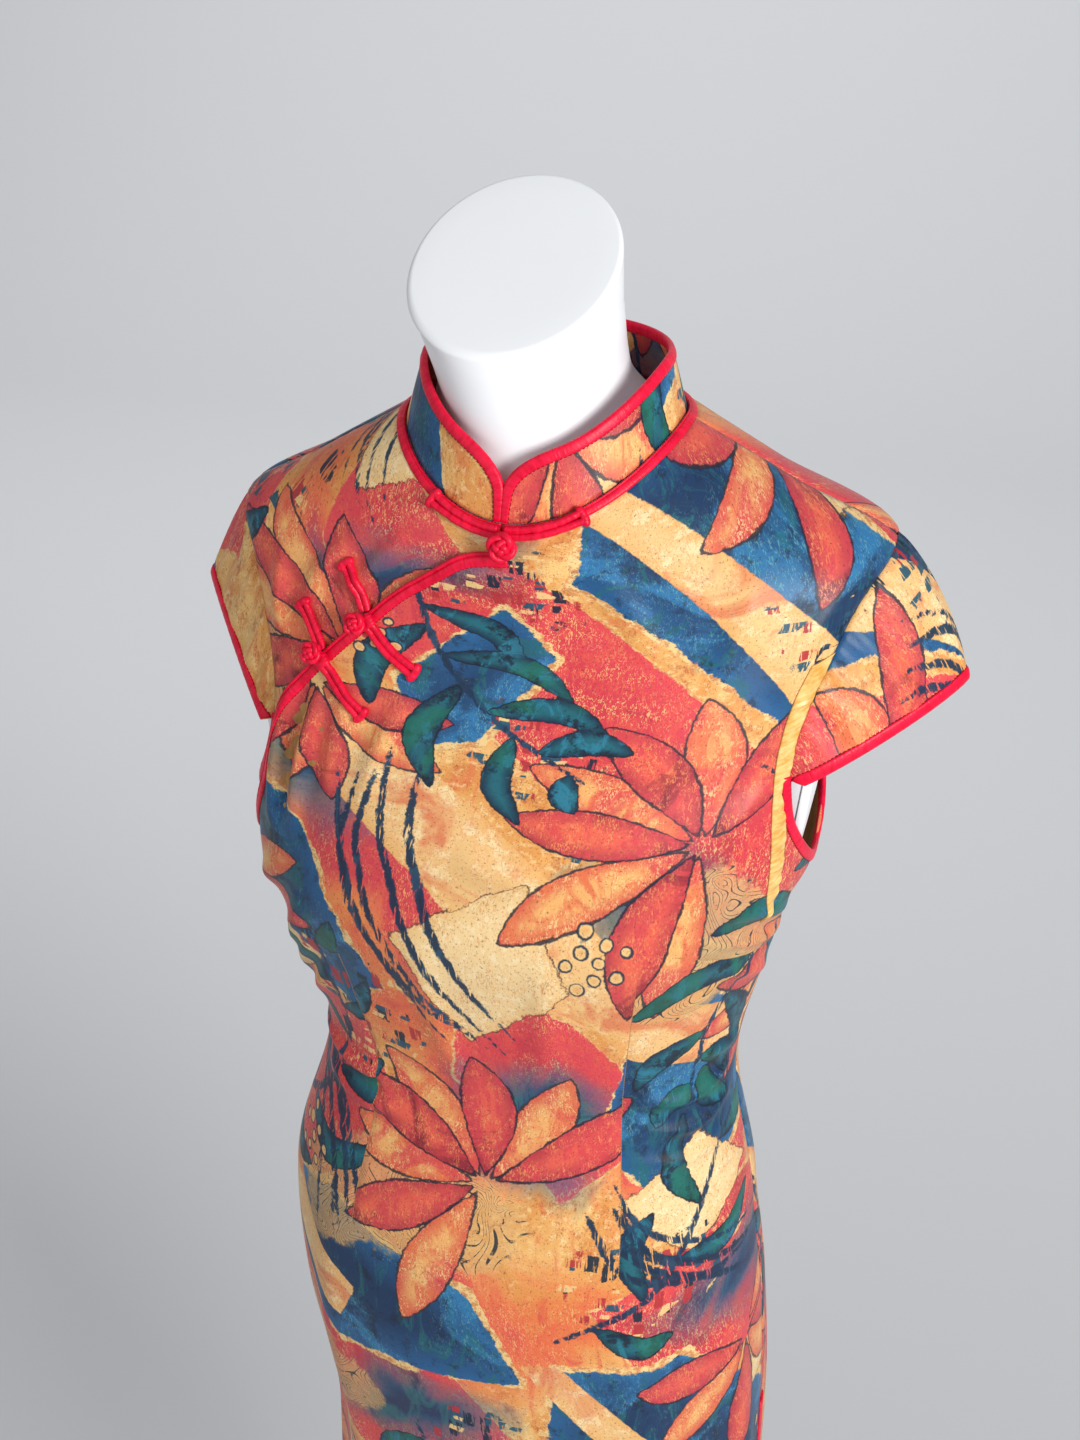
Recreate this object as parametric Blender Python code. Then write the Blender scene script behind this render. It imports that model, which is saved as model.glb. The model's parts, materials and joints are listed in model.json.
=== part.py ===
"""A short-sleeved cheongsam, buttoned on a limbless dress form that stands on a pole and a round foot.

Metres, +Z up, the origin at the middle of the foot's underside. The wearer's front looks along -Y and the
wearer's left is +X. The dress is cut the way a dressmaker cuts it: every panel is an outline on a flat pattern,
laid on the shape of the figure and given the thickness of the cloth.

A place on the dress is (side, across, level): side is FRONT or BACK, across is the distance along the cloth
from the centre line, and level is the distance up the cloth from the hem.
"""

import math
from collections import namedtuple

import bpy
import numpy as np
from mathutils import Vector, geometry

# ---------------------------------------------------------------- driving sizes, in metres
CLOTH = 0.0014              # thickness of the printed satin with its lining
SEAM = 0.0003               # clearance left between two pieces that are sewn together
FACET_PLAY = 0.0004         # more clearance where one faceted wall lies over another
BINDING = 0.0010            # thickness of the bias binding
BINDING_WIDTH = 0.0058
COLLAR_BINDING_WIDTH = 0.0048
COLLAR_CLOTH = 0.0022       # the stand collar is stiffened
COLLAR_OPENING = 0.048      # angle, in radians, between the two front edges of the collar
SLIT_TOP = 0.248            # level where the side slits end
SLIT_SPREAD = 0.009         # how far each slit edge has fallen back at the hem
PIPING_WIDTH = 0.0052       # cord in the neck seam, between the panels and the collar's foot
SHOULDER_POINT = 0.8825     # level where shoulder seam, armhole and sleeve meet
UNDERARM = 0.688            # lowest level of the armhole
SLEEVE_START = 0.757        # level on the armhole where the cap sleeve begins
UNDERLAP = 0.018            # how far the under-front runs on beneath the flap
FLAP_RISE = CLOTH + 2 * SEAM + 2 * FACET_PLAY   # the flap lies on the under-front
FROG_CORD_WIDTH = 0.0054    # two satin cords side by side
FROG_CORD_HEIGHT = 0.0028
KNOT_RADIUS = 0.0050
POLE_RADIUS = 0.0125
FOOT_RADIUS = 0.170
FOOT_HEIGHT = 0.010

FRONT, BACK = -1, 1

# The figure's rings, hem to neck. level is measured up the cloth; z is the height at the side, rise_front and
# rise_back are how much higher the ring passes at the centre front and back, and lean is how much it climbs
# towards the wearer's left, as a slope: the figure stands with its right shoulder a little lower.
Ring = namedtuple("Ring", "name level z rise_front rise_back half_width front back x y square lean")
DRESS_RINGS = [
    Ring("hem", 0.000, 0.500, 0.000, 0.000, 0.146, 0.100, 0.108, 0.012, 0.018, 2.3, 0.0),
    Ring("thigh", 0.200, 0.700, 0.000, 0.000, 0.140, 0.106, 0.116, 0.012, 0.016, 2.3, 0.0),
    Ring("hip", 0.340, 0.840, 0.000, 0.000, 0.148, 0.108, 0.118, -0.002, 0.012, 2.3, 0.0),
    Ring("high_hip", 0.420, 0.920, 0.000, 0.000, 0.144, 0.102, 0.108, -0.008, 0.008, 2.25, 0.0),
    Ring("waist", 0.530, 1.030, 0.000, 0.000, 0.123, 0.088, 0.086, -0.004, 0.004, 2.15, 0.0),
    Ring("ribs", 0.600, 1.100, 0.000, 0.000, 0.137, 0.104, 0.088, -0.006, 0.004, 2.2, 0.0),
    Ring("bust", 0.657, 1.155, 0.016, 0.000, 0.149, 0.124, 0.090, -0.006, 0.004, 2.35, 0.0),
    Ring("underarm", 0.683, 1.178, 0.026, 0.000, 0.155, 0.124, 0.093, -0.002, 0.004, 2.35, 0.0),
    Ring("armhole", 0.765, 1.257, 0.006, 0.010, 0.165, 0.110, 0.098, 0.004, 0.008, 2.3, 0.012),
    Ring("shoulder", 0.875, 1.3545, -0.022, -0.008, 0.1755, 0.088, 0.088, 0.0070, 0.010, 2.15, 0.022),
    Ring("mid_shoulder", 0.925, 1.3875, -0.0255, -0.004, 0.1245, 0.080, 0.074, 0.0010, 0.004, 2.1, 0.036),
    Ring("neck", 0.975, 1.418, -0.0355, 0.004, 0.0720, 0.0722, 0.064, -0.0020, 0.000, 2.0, 0.052),
]
# The dress form inside it: a general figure, smooth and clear of the cloth, closed at hip and neck.
FORM_RINGS = [
    Ring("seat", 0.000, 0.790, 0.000, 0.000, 0.128, 0.092, 0.100, 0.004, 0.013, 2.3, 0.0),
    Ring("hip", 0.050, 0.840, 0.000, 0.000, 0.140, 0.101, 0.110, -0.001, 0.012, 2.3, 0.0),
    Ring("high_hip", 0.130, 0.920, 0.000, 0.000, 0.134, 0.094, 0.099, -0.008, 0.008, 2.25, 0.0),
    Ring("waist", 0.240, 1.030, 0.000, 0.000, 0.112, 0.079, 0.077, -0.004, 0.004, 2.15, 0.0),
    Ring("ribs", 0.310, 1.100, 0.000, 0.000, 0.122, 0.093, 0.080, -0.005, 0.004, 2.2, 0.0),
    Ring("bust", 0.365, 1.155, 0.016, 0.000, 0.132, 0.114, 0.087, -0.001, 0.004, 2.35, 0.0),
    Ring("underarm", 0.391, 1.178, 0.024, 0.000, 0.134, 0.113, 0.089, 0.001, 0.004, 2.35, 0.0),
    Ring("armhole", 0.473, 1.257, 0.004, 0.008, 0.144, 0.102, 0.091, 0.004, 0.008, 2.3, 0.012),
    Ring("shoulder", 0.578, 1.3521, -0.021, -0.008, 0.1705, 0.0843, 0.0845, 0.0070, 0.010, 2.15, 0.022),
    Ring("mid_shoulder", 0.626, 1.3859, -0.0255, -0.0045, 0.1224, 0.0771, 0.0713, 0.0010, 0.004, 2.1, 0.036),
    Ring("neck_foot", 0.680, 1.4165, -0.036, 0.003, 0.0645, 0.0635, 0.0555, -0.0020, 0.000, 2.0, 0.052),
    Ring("neck_low", 0.708, 1.442, -0.028, 0.004, 0.0490, 0.0525, 0.0520, -0.0080, -0.004, 2.0, 0.010),
    Ring("neck_high", 0.755, 1.476, -0.026, 0.016, 0.0528, 0.0530, 0.0535, -0.0165, -0.0062, 2.0, 0.0),
]
# Where the neck is cut off: the middle of the cut, and how it climbs towards the wearer's left and back.
NeckCut = namedtuple("NeckCut", "x y z radius climb_left climb_back rounding")
NECK_CUT = NeckCut(-0.0183, -0.006, 1.4943, 0.0536, 0.067, 0.600, 0.0028)
# The collar's upper edge as a ring. At the front the band starts low and rises round its corner.
COLLAR_TOP = Ring("collar_top", 1.02, 1.4500, -0.034, 0.000, 0.0630, 0.0670, 0.0605, -0.0018, 0.000, 2.0, 0.036)
COLLAR_FRONT_SHARE = 0.40   # share of the full height at the front opening
COLLAR_TURN = 0.075         # angle, in radians, that the opening lies to the wearer's right of the middle
COLLAR_CORNER = 0.42        # angle from the opening, in radians, over which it gains its full height

# Edges that cross the panels: (level, share) with share the place across, 1 at the side seam.
EdgePoint = namedtuple("EdgePoint", "level share")
ARMHOLE = [EdgePoint(*row) for row in (
    (0.6880, 1.000), (0.6888, 0.965), (0.6920, 0.915), (0.6990, 0.855), (0.7080, 0.796), (0.7185, 0.744),
    (0.7315, 0.699), (0.748, 0.673), (0.762, 0.662), (0.785, 0.664), (0.8075, 0.688), (0.8275, 0.721),
    (0.847, 0.758), (0.862, 0.800), (0.8735, 0.860), (0.880, 0.930), (0.8825, 1.000))]
BACK_ARMHOLE_DEPTH = 0.82   # the back armhole is cut less deep than the front
CENTRE_SHARE = 0.046        # the closing runs up a little to the wearer's right of the figure's middle
FLAP_EDGE = [EdgePoint(*row) for row in (
    (0.6456, 1.000), (0.660, 0.912), (0.676, 0.820), (0.692, 0.750), (0.707, 0.702), (0.722, 0.668),
    (0.744, 0.645), (0.7655, 0.618), (0.780, 0.592), (0.796, 0.554), (0.810, 0.516), (0.8235, 0.478),
    (0.835, 0.447), (0.847, 0.414), (0.8635, 0.370), (0.876, 0.338), (0.8895, 0.303), (0.9025, 0.265),
    (0.9150, 0.225), (0.9260, 0.184), (0.9335, 0.138), (0.9370, 0.094), (0.9390, 0.052), (0.9520, 0.048))]
FLAP_CORNER = 0.9390        # level where the closing edge turns up the centre front

# Sleeve: the hem runs from the front of the armhole over the tip to its back, as half an ellipse where
# hem_power is 1 and as two straight lines where it is 2; fullness is how far the cap swells above a straight fall.
Sleeve = namedtuple("Sleeve", "name side_sign tip_x tip_y tip_z hem_power fullness")
SLEEVES = [
    Sleeve("left", 1, 0.2240, 0.004, 1.2920, 1.50, 0.60),
    Sleeve("right", -1, -0.1925, 0.004, 1.3015, 1.90, 0.10),
]
SLEEVE_ROOT_LENGTH = 0.0065  # how far the sleeve stands out where it starts and ends
SLEEVE_ROWS = 6

# Frogs: each arm runs from its outer end to the closing, as (share, level) on the front.
Frog = namedtuple("Frog", "name upper_end closing lower_end knot bow")
FROGS = [
    Frog("mid", (-0.475, 0.8925), (-0.384, 0.8585), (-0.242, 0.8250), (-0.413, 0.8537), 0.0028),
    Frog("side", (-0.567, 0.8500), (-0.488, 0.8190), (-0.358, 0.7850), (-0.514, 0.8225), 0.0006),
]

FOLD_FLARE = 0.45           # how much wider a frog's folded end is
CORD_PAIR = ((-0.36, 0.0), (0.36, 0.0), (0.5, 0.35), (0.42, 0.8), (0.25, 1.0), (0.0, 0.68), (-0.25, 1.0),
             (-0.42, 0.8), (-0.5, 0.35))    # section of two cords side by side, as shares of width and height

# Darts of the front: lines pressed a little into the cloth, given by share of the half width and level.
Dart = namedtuple("Dart", "low_share low_level high_share high_level bow points")
DARTS = [
    Dart(0.392, 0.405, 0.384, 0.650, 0.034, 12),
    Dart(-0.440, 0.405, -0.420, 0.640, -0.020, 12),
    Dart(0.930, 0.626, 0.440, 0.6545, 0.000, 6),
    Dart(-0.930, 0.560, -0.530, 0.645, 0.000, 7),
]
DART_DEPTH = 0.0010

COLOURS = {
    "print": ((0.78, 0.42, 0.18), 0.42),
    "red": ((0.78, 0.03, 0.07), 0.38),
    "form": ((0.88, 0.89, 0.91), 0.30),
    "steel": ((0.62, 0.63, 0.65), 0.28),
}


# ---------------------------------------------------------------- the shape of the figure
def smooth_through(stations, values, query):
    """Monotone cubic through (stations, values), so that it never swings past its own points."""
    stations, values = np.asarray(stations, float), np.asarray(values, float)
    step = np.diff(stations)
    slope = np.diff(values) / step
    tangent = np.zeros_like(values)
    tangent[0], tangent[-1] = slope[0], slope[-1]
    for i in range(1, len(stations) - 1):
        if slope[i - 1] * slope[i] > 0:
            before, after = 2 * step[i] + step[i - 1], step[i] + 2 * step[i - 1]
            tangent[i] = (before + after) / (before / slope[i - 1] + after / slope[i])
    i = np.clip(np.searchsorted(stations, query) - 1, 0, len(stations) - 2)
    s = (query - stations[i]) / step[i]
    return ((2 * s**3 - 3 * s**2 + 1) * values[i] + (s**3 - 2 * s**2 + s) * step[i] * tangent[i]
            + (3 * s**2 - 2 * s**3) * values[i + 1] + (s**3 - s**2) * step[i] * tangent[i + 1])


def ring_point(rings, angle, level):
    """The point at that angle (0 at the wearer's left, -90 degrees at the front) on the ring at that level."""
    stations = [ring.level for ring in rings]

    def size(field):
        return smooth_through(stations, [getattr(ring, field) for ring in rings], level)

    c, s = np.cos(angle), np.sin(angle)
    power = 2 / size("square")
    depth = np.where(s < 0, size("front"), size("back"))
    rise = np.where(s < 0, size("rise_front"), size("rise_back"))
    reach = size("half_width") * np.sign(c) * np.abs(c) ** power
    return np.stack([
        size("x") + reach,
        size("y") + depth * np.sign(s) * np.abs(s) ** power,
        size("z") + rise * s**2 + size("lean") * reach], -1)


class Figure:
    """The surface that the dress lies on, laid out flat: half of each ring is unrolled from its centre line."""

    LEVEL_STEPS, ACROSS_STEPS = 390, 120

    def __init__(self, rings):
        self.top = rings[-1].level
        self.levels = np.linspace(0, self.top, self.LEVEL_STEPS + 1)
        self.shares = np.linspace(-1, 1, 2 * self.ACROSS_STEPS + 1)
        self.points, self.normals, self.reach = {}, {}, {}
        for side in (FRONT, BACK):
            self._unroll(rings, side)

    def _unroll(self, rings, side):
        angle = np.linspace(-math.pi, 0, 721) if side == FRONT else np.linspace(math.pi, 0, 721)
        grid = np.zeros((len(self.levels), len(self.shares), 3))
        reach = np.zeros(len(self.levels))
        for row, level in enumerate(self.levels):
            ring = ring_point(rings, angle, np.full_like(angle, level))
            along = np.concatenate([[0], np.cumsum(np.linalg.norm(np.diff(ring, axis=0), axis=1))])
            reach[row] = along[-1] / 2
            for k in range(3):
                grid[row, :, k] = np.interp(self.shares, along / along[-1] * 2 - 1, ring[:, k])
        up, across = np.gradient(grid, axis=0), np.gradient(grid, axis=1)
        normal = np.cross(across, up) if side == FRONT else np.cross(up, across)
        normal /= np.linalg.norm(normal, axis=2, keepdims=True)
        self.points[side], self.normals[side], self.reach[side] = grid, normal, reach

    def half(self, side, level):
        """How far the side seam is from the centre line, along the cloth, at that level."""
        return np.interp(level, self.levels, self.reach[side])

    def _look_up(self, grid, share, level):
        row = np.clip(np.asarray(level, float) / self.top * self.LEVEL_STEPS, 0, self.LEVEL_STEPS - 1e-6)
        col = np.clip((np.asarray(share, float) + 1) * self.ACROSS_STEPS, 0, 2 * self.ACROSS_STEPS - 1e-6)
        r, c = row.astype(int), col.astype(int)
        fr, fc = (row - r)[..., None], (col - c)[..., None]
        return ((1 - fr) * ((1 - fc) * grid[r, c] + fc * grid[r, c + 1])
                + fr * ((1 - fc) * grid[r + 1, c] + fc * grid[r + 1, c + 1]))

    def aside(self, side, path, distance):
        """The path moved over the cloth by distance, to the right of its direction where that is positive."""
        path = np.asarray(path, float)
        steps = max(1, math.ceil(abs(distance) / 0.006))
        for _ in range(steps):
            place = self.at(side, path[:, 0], path[:, 1])
            reach = 0.001
            by_across = (self.at(side, path[:, 0] + reach, path[:, 1]) - place) / reach
            by_level = (self.at(side, path[:, 0], path[:, 1] - reach) - place) / -reach
            tangent = np.gradient(path, axis=0)
            run = by_across * tangent[:, :1] + by_level * tangent[:, 1:]
            run /= np.linalg.norm(run, axis=1, keepdims=True)
            upright = np.cross(by_across, by_level)
            upright /= np.linalg.norm(upright, axis=1, keepdims=True)
            right = np.cross(run, upright)
            moved = []
            for u, v, w in zip(by_across, by_level, right):
                moved.append(np.linalg.lstsq(np.stack([u, v], 1), w, rcond=None)[0])
            path = path + np.array(moved) * (distance / steps)
        return path

    def below_neck(self, side, share, distance):
        """The level that lies so far down the cloth from the collar's foot, at that share of the half width."""
        column = int(round((share + 1) * self.ACROSS_STEPS))
        line = self.points[side][::-1, column]
        length = np.concatenate([[0], np.cumsum(np.linalg.norm(np.diff(line, axis=0), axis=1))])
        return float(np.interp(distance, length, self.levels[::-1]))

    def rows(self, side, low, high, spacing):
        """Levels between low and high that are nowhere further apart than spacing."""
        levels = np.linspace(low, high, 200)
        steps = [np.linalg.norm(np.diff(self.at(side, share * self.half(side, levels), levels), axis=0), axis=1)
                 for share in (0.0, 0.5, 0.9)]
        length = np.concatenate([[0], np.cumsum(np.max(steps, axis=0))])
        count = max(2, round(length[-1] / spacing) + 1)
        return np.interp(np.linspace(0, length[-1], count), length, levels)[1:-1]

    def at(self, side, across, level, lift=0.0):
        """Points in space for places on the flat cloth, moved out by lift."""
        across, level, lift = np.broadcast_arrays(*(np.asarray(v, float) for v in (across, level, lift)))
        share = across / self.half(side, level)
        normal = self._look_up(self.normals[side], share, level)
        normal = normal / np.linalg.norm(normal, axis=-1, keepdims=True)
        return self._look_up(self.points[side], share, level) + normal * lift[..., None]


# ---------------------------------------------------------------- building solids
def material(name):
    """A Principled material in one of the object's own colours."""
    found = bpy.data.materials.get(name)
    if found:
        return found
    colour, roughness = COLOURS[name]
    made = bpy.data.materials.new(name)
    made.use_nodes = True
    shader = made.node_tree.nodes["Principled BSDF"]
    shader.inputs["Base Color"].default_value = (*colour, 1)
    shader.inputs["Roughness"].default_value = roughness
    shader.inputs["Metallic"].default_value = 1.0 if name == "steel" else 0.0
    return made


def add_solid(name, points, faces, finish):
    """A closed mesh as an object of that name, its faces pointing out."""
    mesh = bpy.data.meshes.new(name)
    mesh.from_pydata([tuple(map(float, p)) for p in points], [], faces)
    mesh.validate()
    volume = 0.0
    for polygon in mesh.polygons:
        corners = [mesh.vertices[i].co for i in polygon.vertices]
        for b, c in zip(corners[1:-1], corners[2:]):
            volume += corners[0].dot(b.cross(c))
    if volume < 0:
        mesh.flip_normals()
    mesh.materials.append(material(finish))
    mesh.shade_smooth()
    mesh.set_sharp_from_angle(angle=math.radians(40))
    made = bpy.data.objects.new(name, mesh)
    bpy.context.scene.collection.objects.link(made)
    return made


def two_layers(name, inner, outer, triangles, finish):
    """A wall between two layers of points that share one set of triangles, with a rim round its outline."""
    count = len(inner)
    faces = [tuple(t) for t in triangles] + [tuple(count + i for i in reversed(t)) for t in triangles]
    once = set()
    for t in triangles:
        for a, b in zip(t, (*t[1:], t[0])):
            if (b, a) in once:
                once.remove((b, a))
            else:
                once.add((a, b))
    for a, b in sorted(once):
        faces.append((b, a, count + a, count + b))
    return add_solid(name, [*inner, *outer], faces, finish)


def grid_faces(rows, columns, ring=False):
    """Triangles of a grid of points stored row by row; ring joins the last column to the first."""
    faces = []
    for r in range(rows - 1):
        for c in range(columns if ring else columns - 1):
            a, b = r * columns + c, r * columns + (c + 1) % columns
            faces += [(a, b, b + columns), (a, b + columns, a + columns)]
    return faces


def swept(name, sections, finish, closed=False):
    """A bar through equal cross-sections; closed joins its ends, and otherwise they are capped."""
    count, size = len(sections), len(sections[0])
    faces = []
    for i in range(count if closed else count - 1):
        for k in range(size):
            a, b = i * size + k, i * size + (k + 1) % size
            c, d = ((i + 1) % count) * size + (k + 1) % size, ((i + 1) % count) * size + k
            faces.append((a, b, c, d))
    if not closed:
        faces += [tuple(reversed(range(size))), tuple((count - 1) * size + k for k in range(size))]
    return add_solid(name, [p for section in sections for p in section], faces, finish)


# ---------------------------------------------------------------- pieces cut from the pattern
def inside(outline, points):
    """Which points lie inside the outline."""
    x, y = points[:, 0], points[:, 1]
    result = np.zeros(len(points), bool)
    for (ax, ay), (bx, by) in zip(outline, np.roll(outline, -1, axis=0)):
        crosses = (ay > y) != (by > y)
        with np.errstate(divide="ignore", invalid="ignore"):
            result ^= crosses & (x < (bx - ax) * (y - ay) / (by - ay) + ax)
    return result


def distance_to(path, points, closed=False):
    """Each point's distance to the path, both in space."""
    ends = np.roll(path, -1, axis=0) if closed else path[1:]
    starts = path if closed else path[:-1]
    best = np.full(len(points), np.inf)
    for a, b in zip(starts, ends):
        run = b - a
        share = np.clip(((points - a) @ run) / max(run @ run, 1e-12), 0, 1)
        best = np.minimum(best, np.linalg.norm(points - a - share[:, None] * run, axis=1))
    return best


def cut_cloth(figure, name, side, outline, creases=(), fill=0.024, rise=None, inner=0.0, thickness=CLOTH,
              finish="print"):
    """Cuts one piece to its outline and lays it on the figure.

    creases are paths inside the piece that its facets have to follow, fill is the spacing of the points between
    them, and rise is a function of places on the pattern that lifts the piece off the figure.
    """
    outline = np.asarray(outline, float)
    points = [tuple(p) for p in outline]
    edges = []
    for path in creases:
        first = len(points)
        points += [tuple(p) for p in path]
        edges += [(i, i + 1) for i in range(first, len(points) - 1)]
    if fill:
        shares = 0.35 * np.sin(np.linspace(-1, 1, 17) * math.pi / 2) + 0.65 * np.linspace(-1, 1, 17)
        spots = np.array([(share * figure.half(side, row), row)
                          for row in figure.rows(side, outline[:, 1].min(), outline[:, 1].max(), fill)
                          for share in shares])
        placed = figure.at(side, spots[:, 0], spots[:, 1])
        rim = figure.at(side, outline[:, 0], outline[:, 1])
        clear = inside(outline, spots) & (distance_to(rim, placed, closed=True) > fill * 0.42)
        for path in creases:
            line = figure.at(side, np.array(path)[:, 0], np.array(path)[:, 1])
            clear &= distance_to(line, placed) > fill * 0.42
        kept = []
        for i in np.flatnonzero(clear):
            if not kept or np.linalg.norm(placed[kept] - placed[i], axis=1).min() > fill * 0.6:
                kept.append(i)
        points += [tuple(p) for p in spots[kept]]
    flat, _, triangles, *_ = geometry.delaunay_2d_cdt(
        [Vector(p) for p in points], edges, [list(range(len(outline)))], 1, 1e-6)
    across, level = np.array([p.x for p in flat]), np.array([p.y for p in flat])
    lift = inner + (rise(across, level) if rise else 0)
    return two_layers(
        name, figure.at(side, across, level, lift), figure.at(side, across, level, lift + thickness),
        [tuple(t) for t in triangles], finish)


# ---------------------------------------------------------------- outlines of the dress
def edge_path(figure, side, rows, sign, depth=1.0):
    """An edge that crosses a panel, as (across, level) points, on the wearer's left for sign +1."""
    path = []
    for row in rows:
        half = figure.half(side, row.level)
        path.append((sign * min((1 - depth * (1 - row.share)) * half, half - SEAM / 2), row.level))
    return np.array(path)


def armhole_inside(figure, side, sign):
    """The line along which the armhole's binding ends on the panel."""
    depth = 1.0 if side == FRONT else BACK_ARMHOLE_DEPTH
    path = figure.aside(side, edge_path(figure, side, ARMHOLE, 1, depth), -BINDING_WIDTH - SEAM)[1:-1]
    return path * (sign, 1)


def side_seam(figure, side, low, high, sign, count, spread=None):
    """The side or shoulder seam between two levels, half a seam's clearance inside the piece."""
    levels = np.linspace(low, high, count)
    back_off = SEAM / 2 + (spread(levels) if spread else 0)
    return np.stack([sign * (figure.half(side, levels) - back_off), levels], 1)


def slit_spread(levels):
    """How far a slit's edge has fallen back from the side line."""
    return SLIT_SPREAD * np.clip((SLIT_TOP - levels) / SLIT_TOP, 0, 1) ** 1.3 + 0.0006


def neck_shares(start, end):
    """The stations of the neck seam between two shares, the same for the panels and for the piping."""
    stations = np.linspace(-1, 1, 21)
    between = stations[(stations > min(start, end) + 0.02) & (stations < max(start, end) - 0.02)]
    return np.array([start, *(between if start < end else between[::-1]), end])


def neck_path(figure, side, start, end):
    """A panel's neck edge between two shares of the half width."""
    path = []
    for share in neck_shares(start, end):
        level = figure.below_neck(side, share, PIPING_WIDTH + 2 * SEAM)
        half = figure.half(side, level)
        path.append((np.clip(share * half, SEAM / 2 - half, half - SEAM / 2), level))
    return np.array(path)


def skirt_edge(figure, side):
    """Down one slit, along the hem and up the other, from the wearer's right to left."""
    right = side_seam(figure, side, 0, SLIT_TOP - 0.004, -1, 12, slit_spread)[::-1]
    left = side_seam(figure, side, 0, SLIT_TOP - 0.004, 1, 12, slit_spread)
    hem = np.stack([np.linspace(right[-1, 0], left[0, 0], 18), np.zeros(18)], 1)[1:-1]
    return np.concatenate([right, hem, left])


def mitred_inside(edge, width):
    """The line that runs width inside a skirt edge, with its two hem corners mitred."""
    across, level = edge[:, 0].copy(), edge[:, 1].copy()
    hem = level < 1e-9
    across[~hem] -= np.sign(across[~hem]) * width
    reach = np.abs(edge[hem][[0, -1], 0]) - width
    across[hem] = np.clip(across[hem], -reach[0], reach[1])
    return np.stack([across, np.maximum(level, width)], 1)


def flap_rise(figure):
    """The flap's lift: full where the under-front lies below it, and down to nothing further in."""
    edge = edge_path(figure, FRONT, FLAP_EDGE[:-1], -1)
    line = figure.at(FRONT, edge[:, 0], edge[:, 1])

    def rise(across, level):
        away = distance_to(line, figure.at(FRONT, across, level))
        inward = np.clip((away - UNDERLAP - 0.002) / 0.030, 0, 1)
        upward = np.clip((level - FLAP_CORNER) / 0.014, 0, 1)
        fall = (1 - inward * inward * (3 - 2 * inward)) * (1 - upward)
        return FLAP_RISE * fall

    return rise


def pressed(figure, rise):
    """A lift that also presses the darts into the front as shallow valleys."""
    lines = [figure.at(FRONT, path[:, 0], path[:, 1]) for path in dart_paths(figure)]

    def lift(across, level):
        placed = figure.at(FRONT, across, level)
        away = np.min([distance_to(line, placed) for line in lines], axis=0)
        return rise(across, level) - DART_DEPTH * np.clip(1 - away / 0.008, 0, 1)

    return lift


def dart_paths(figure):
    """The four darts of the front as lines on the pattern."""
    paths = []
    for dart in DARTS:
        stations = np.linspace(0, 1, dart.points)
        level = dart.low_level + (dart.high_level - dart.low_level) * stations
        share = dart.low_share + (dart.high_share - dart.low_share) * stations
        share += dart.bow * np.sin(stations * math.pi)
        paths.append(np.stack([share * figure.half(FRONT, level), level], 1))
    return paths


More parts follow.
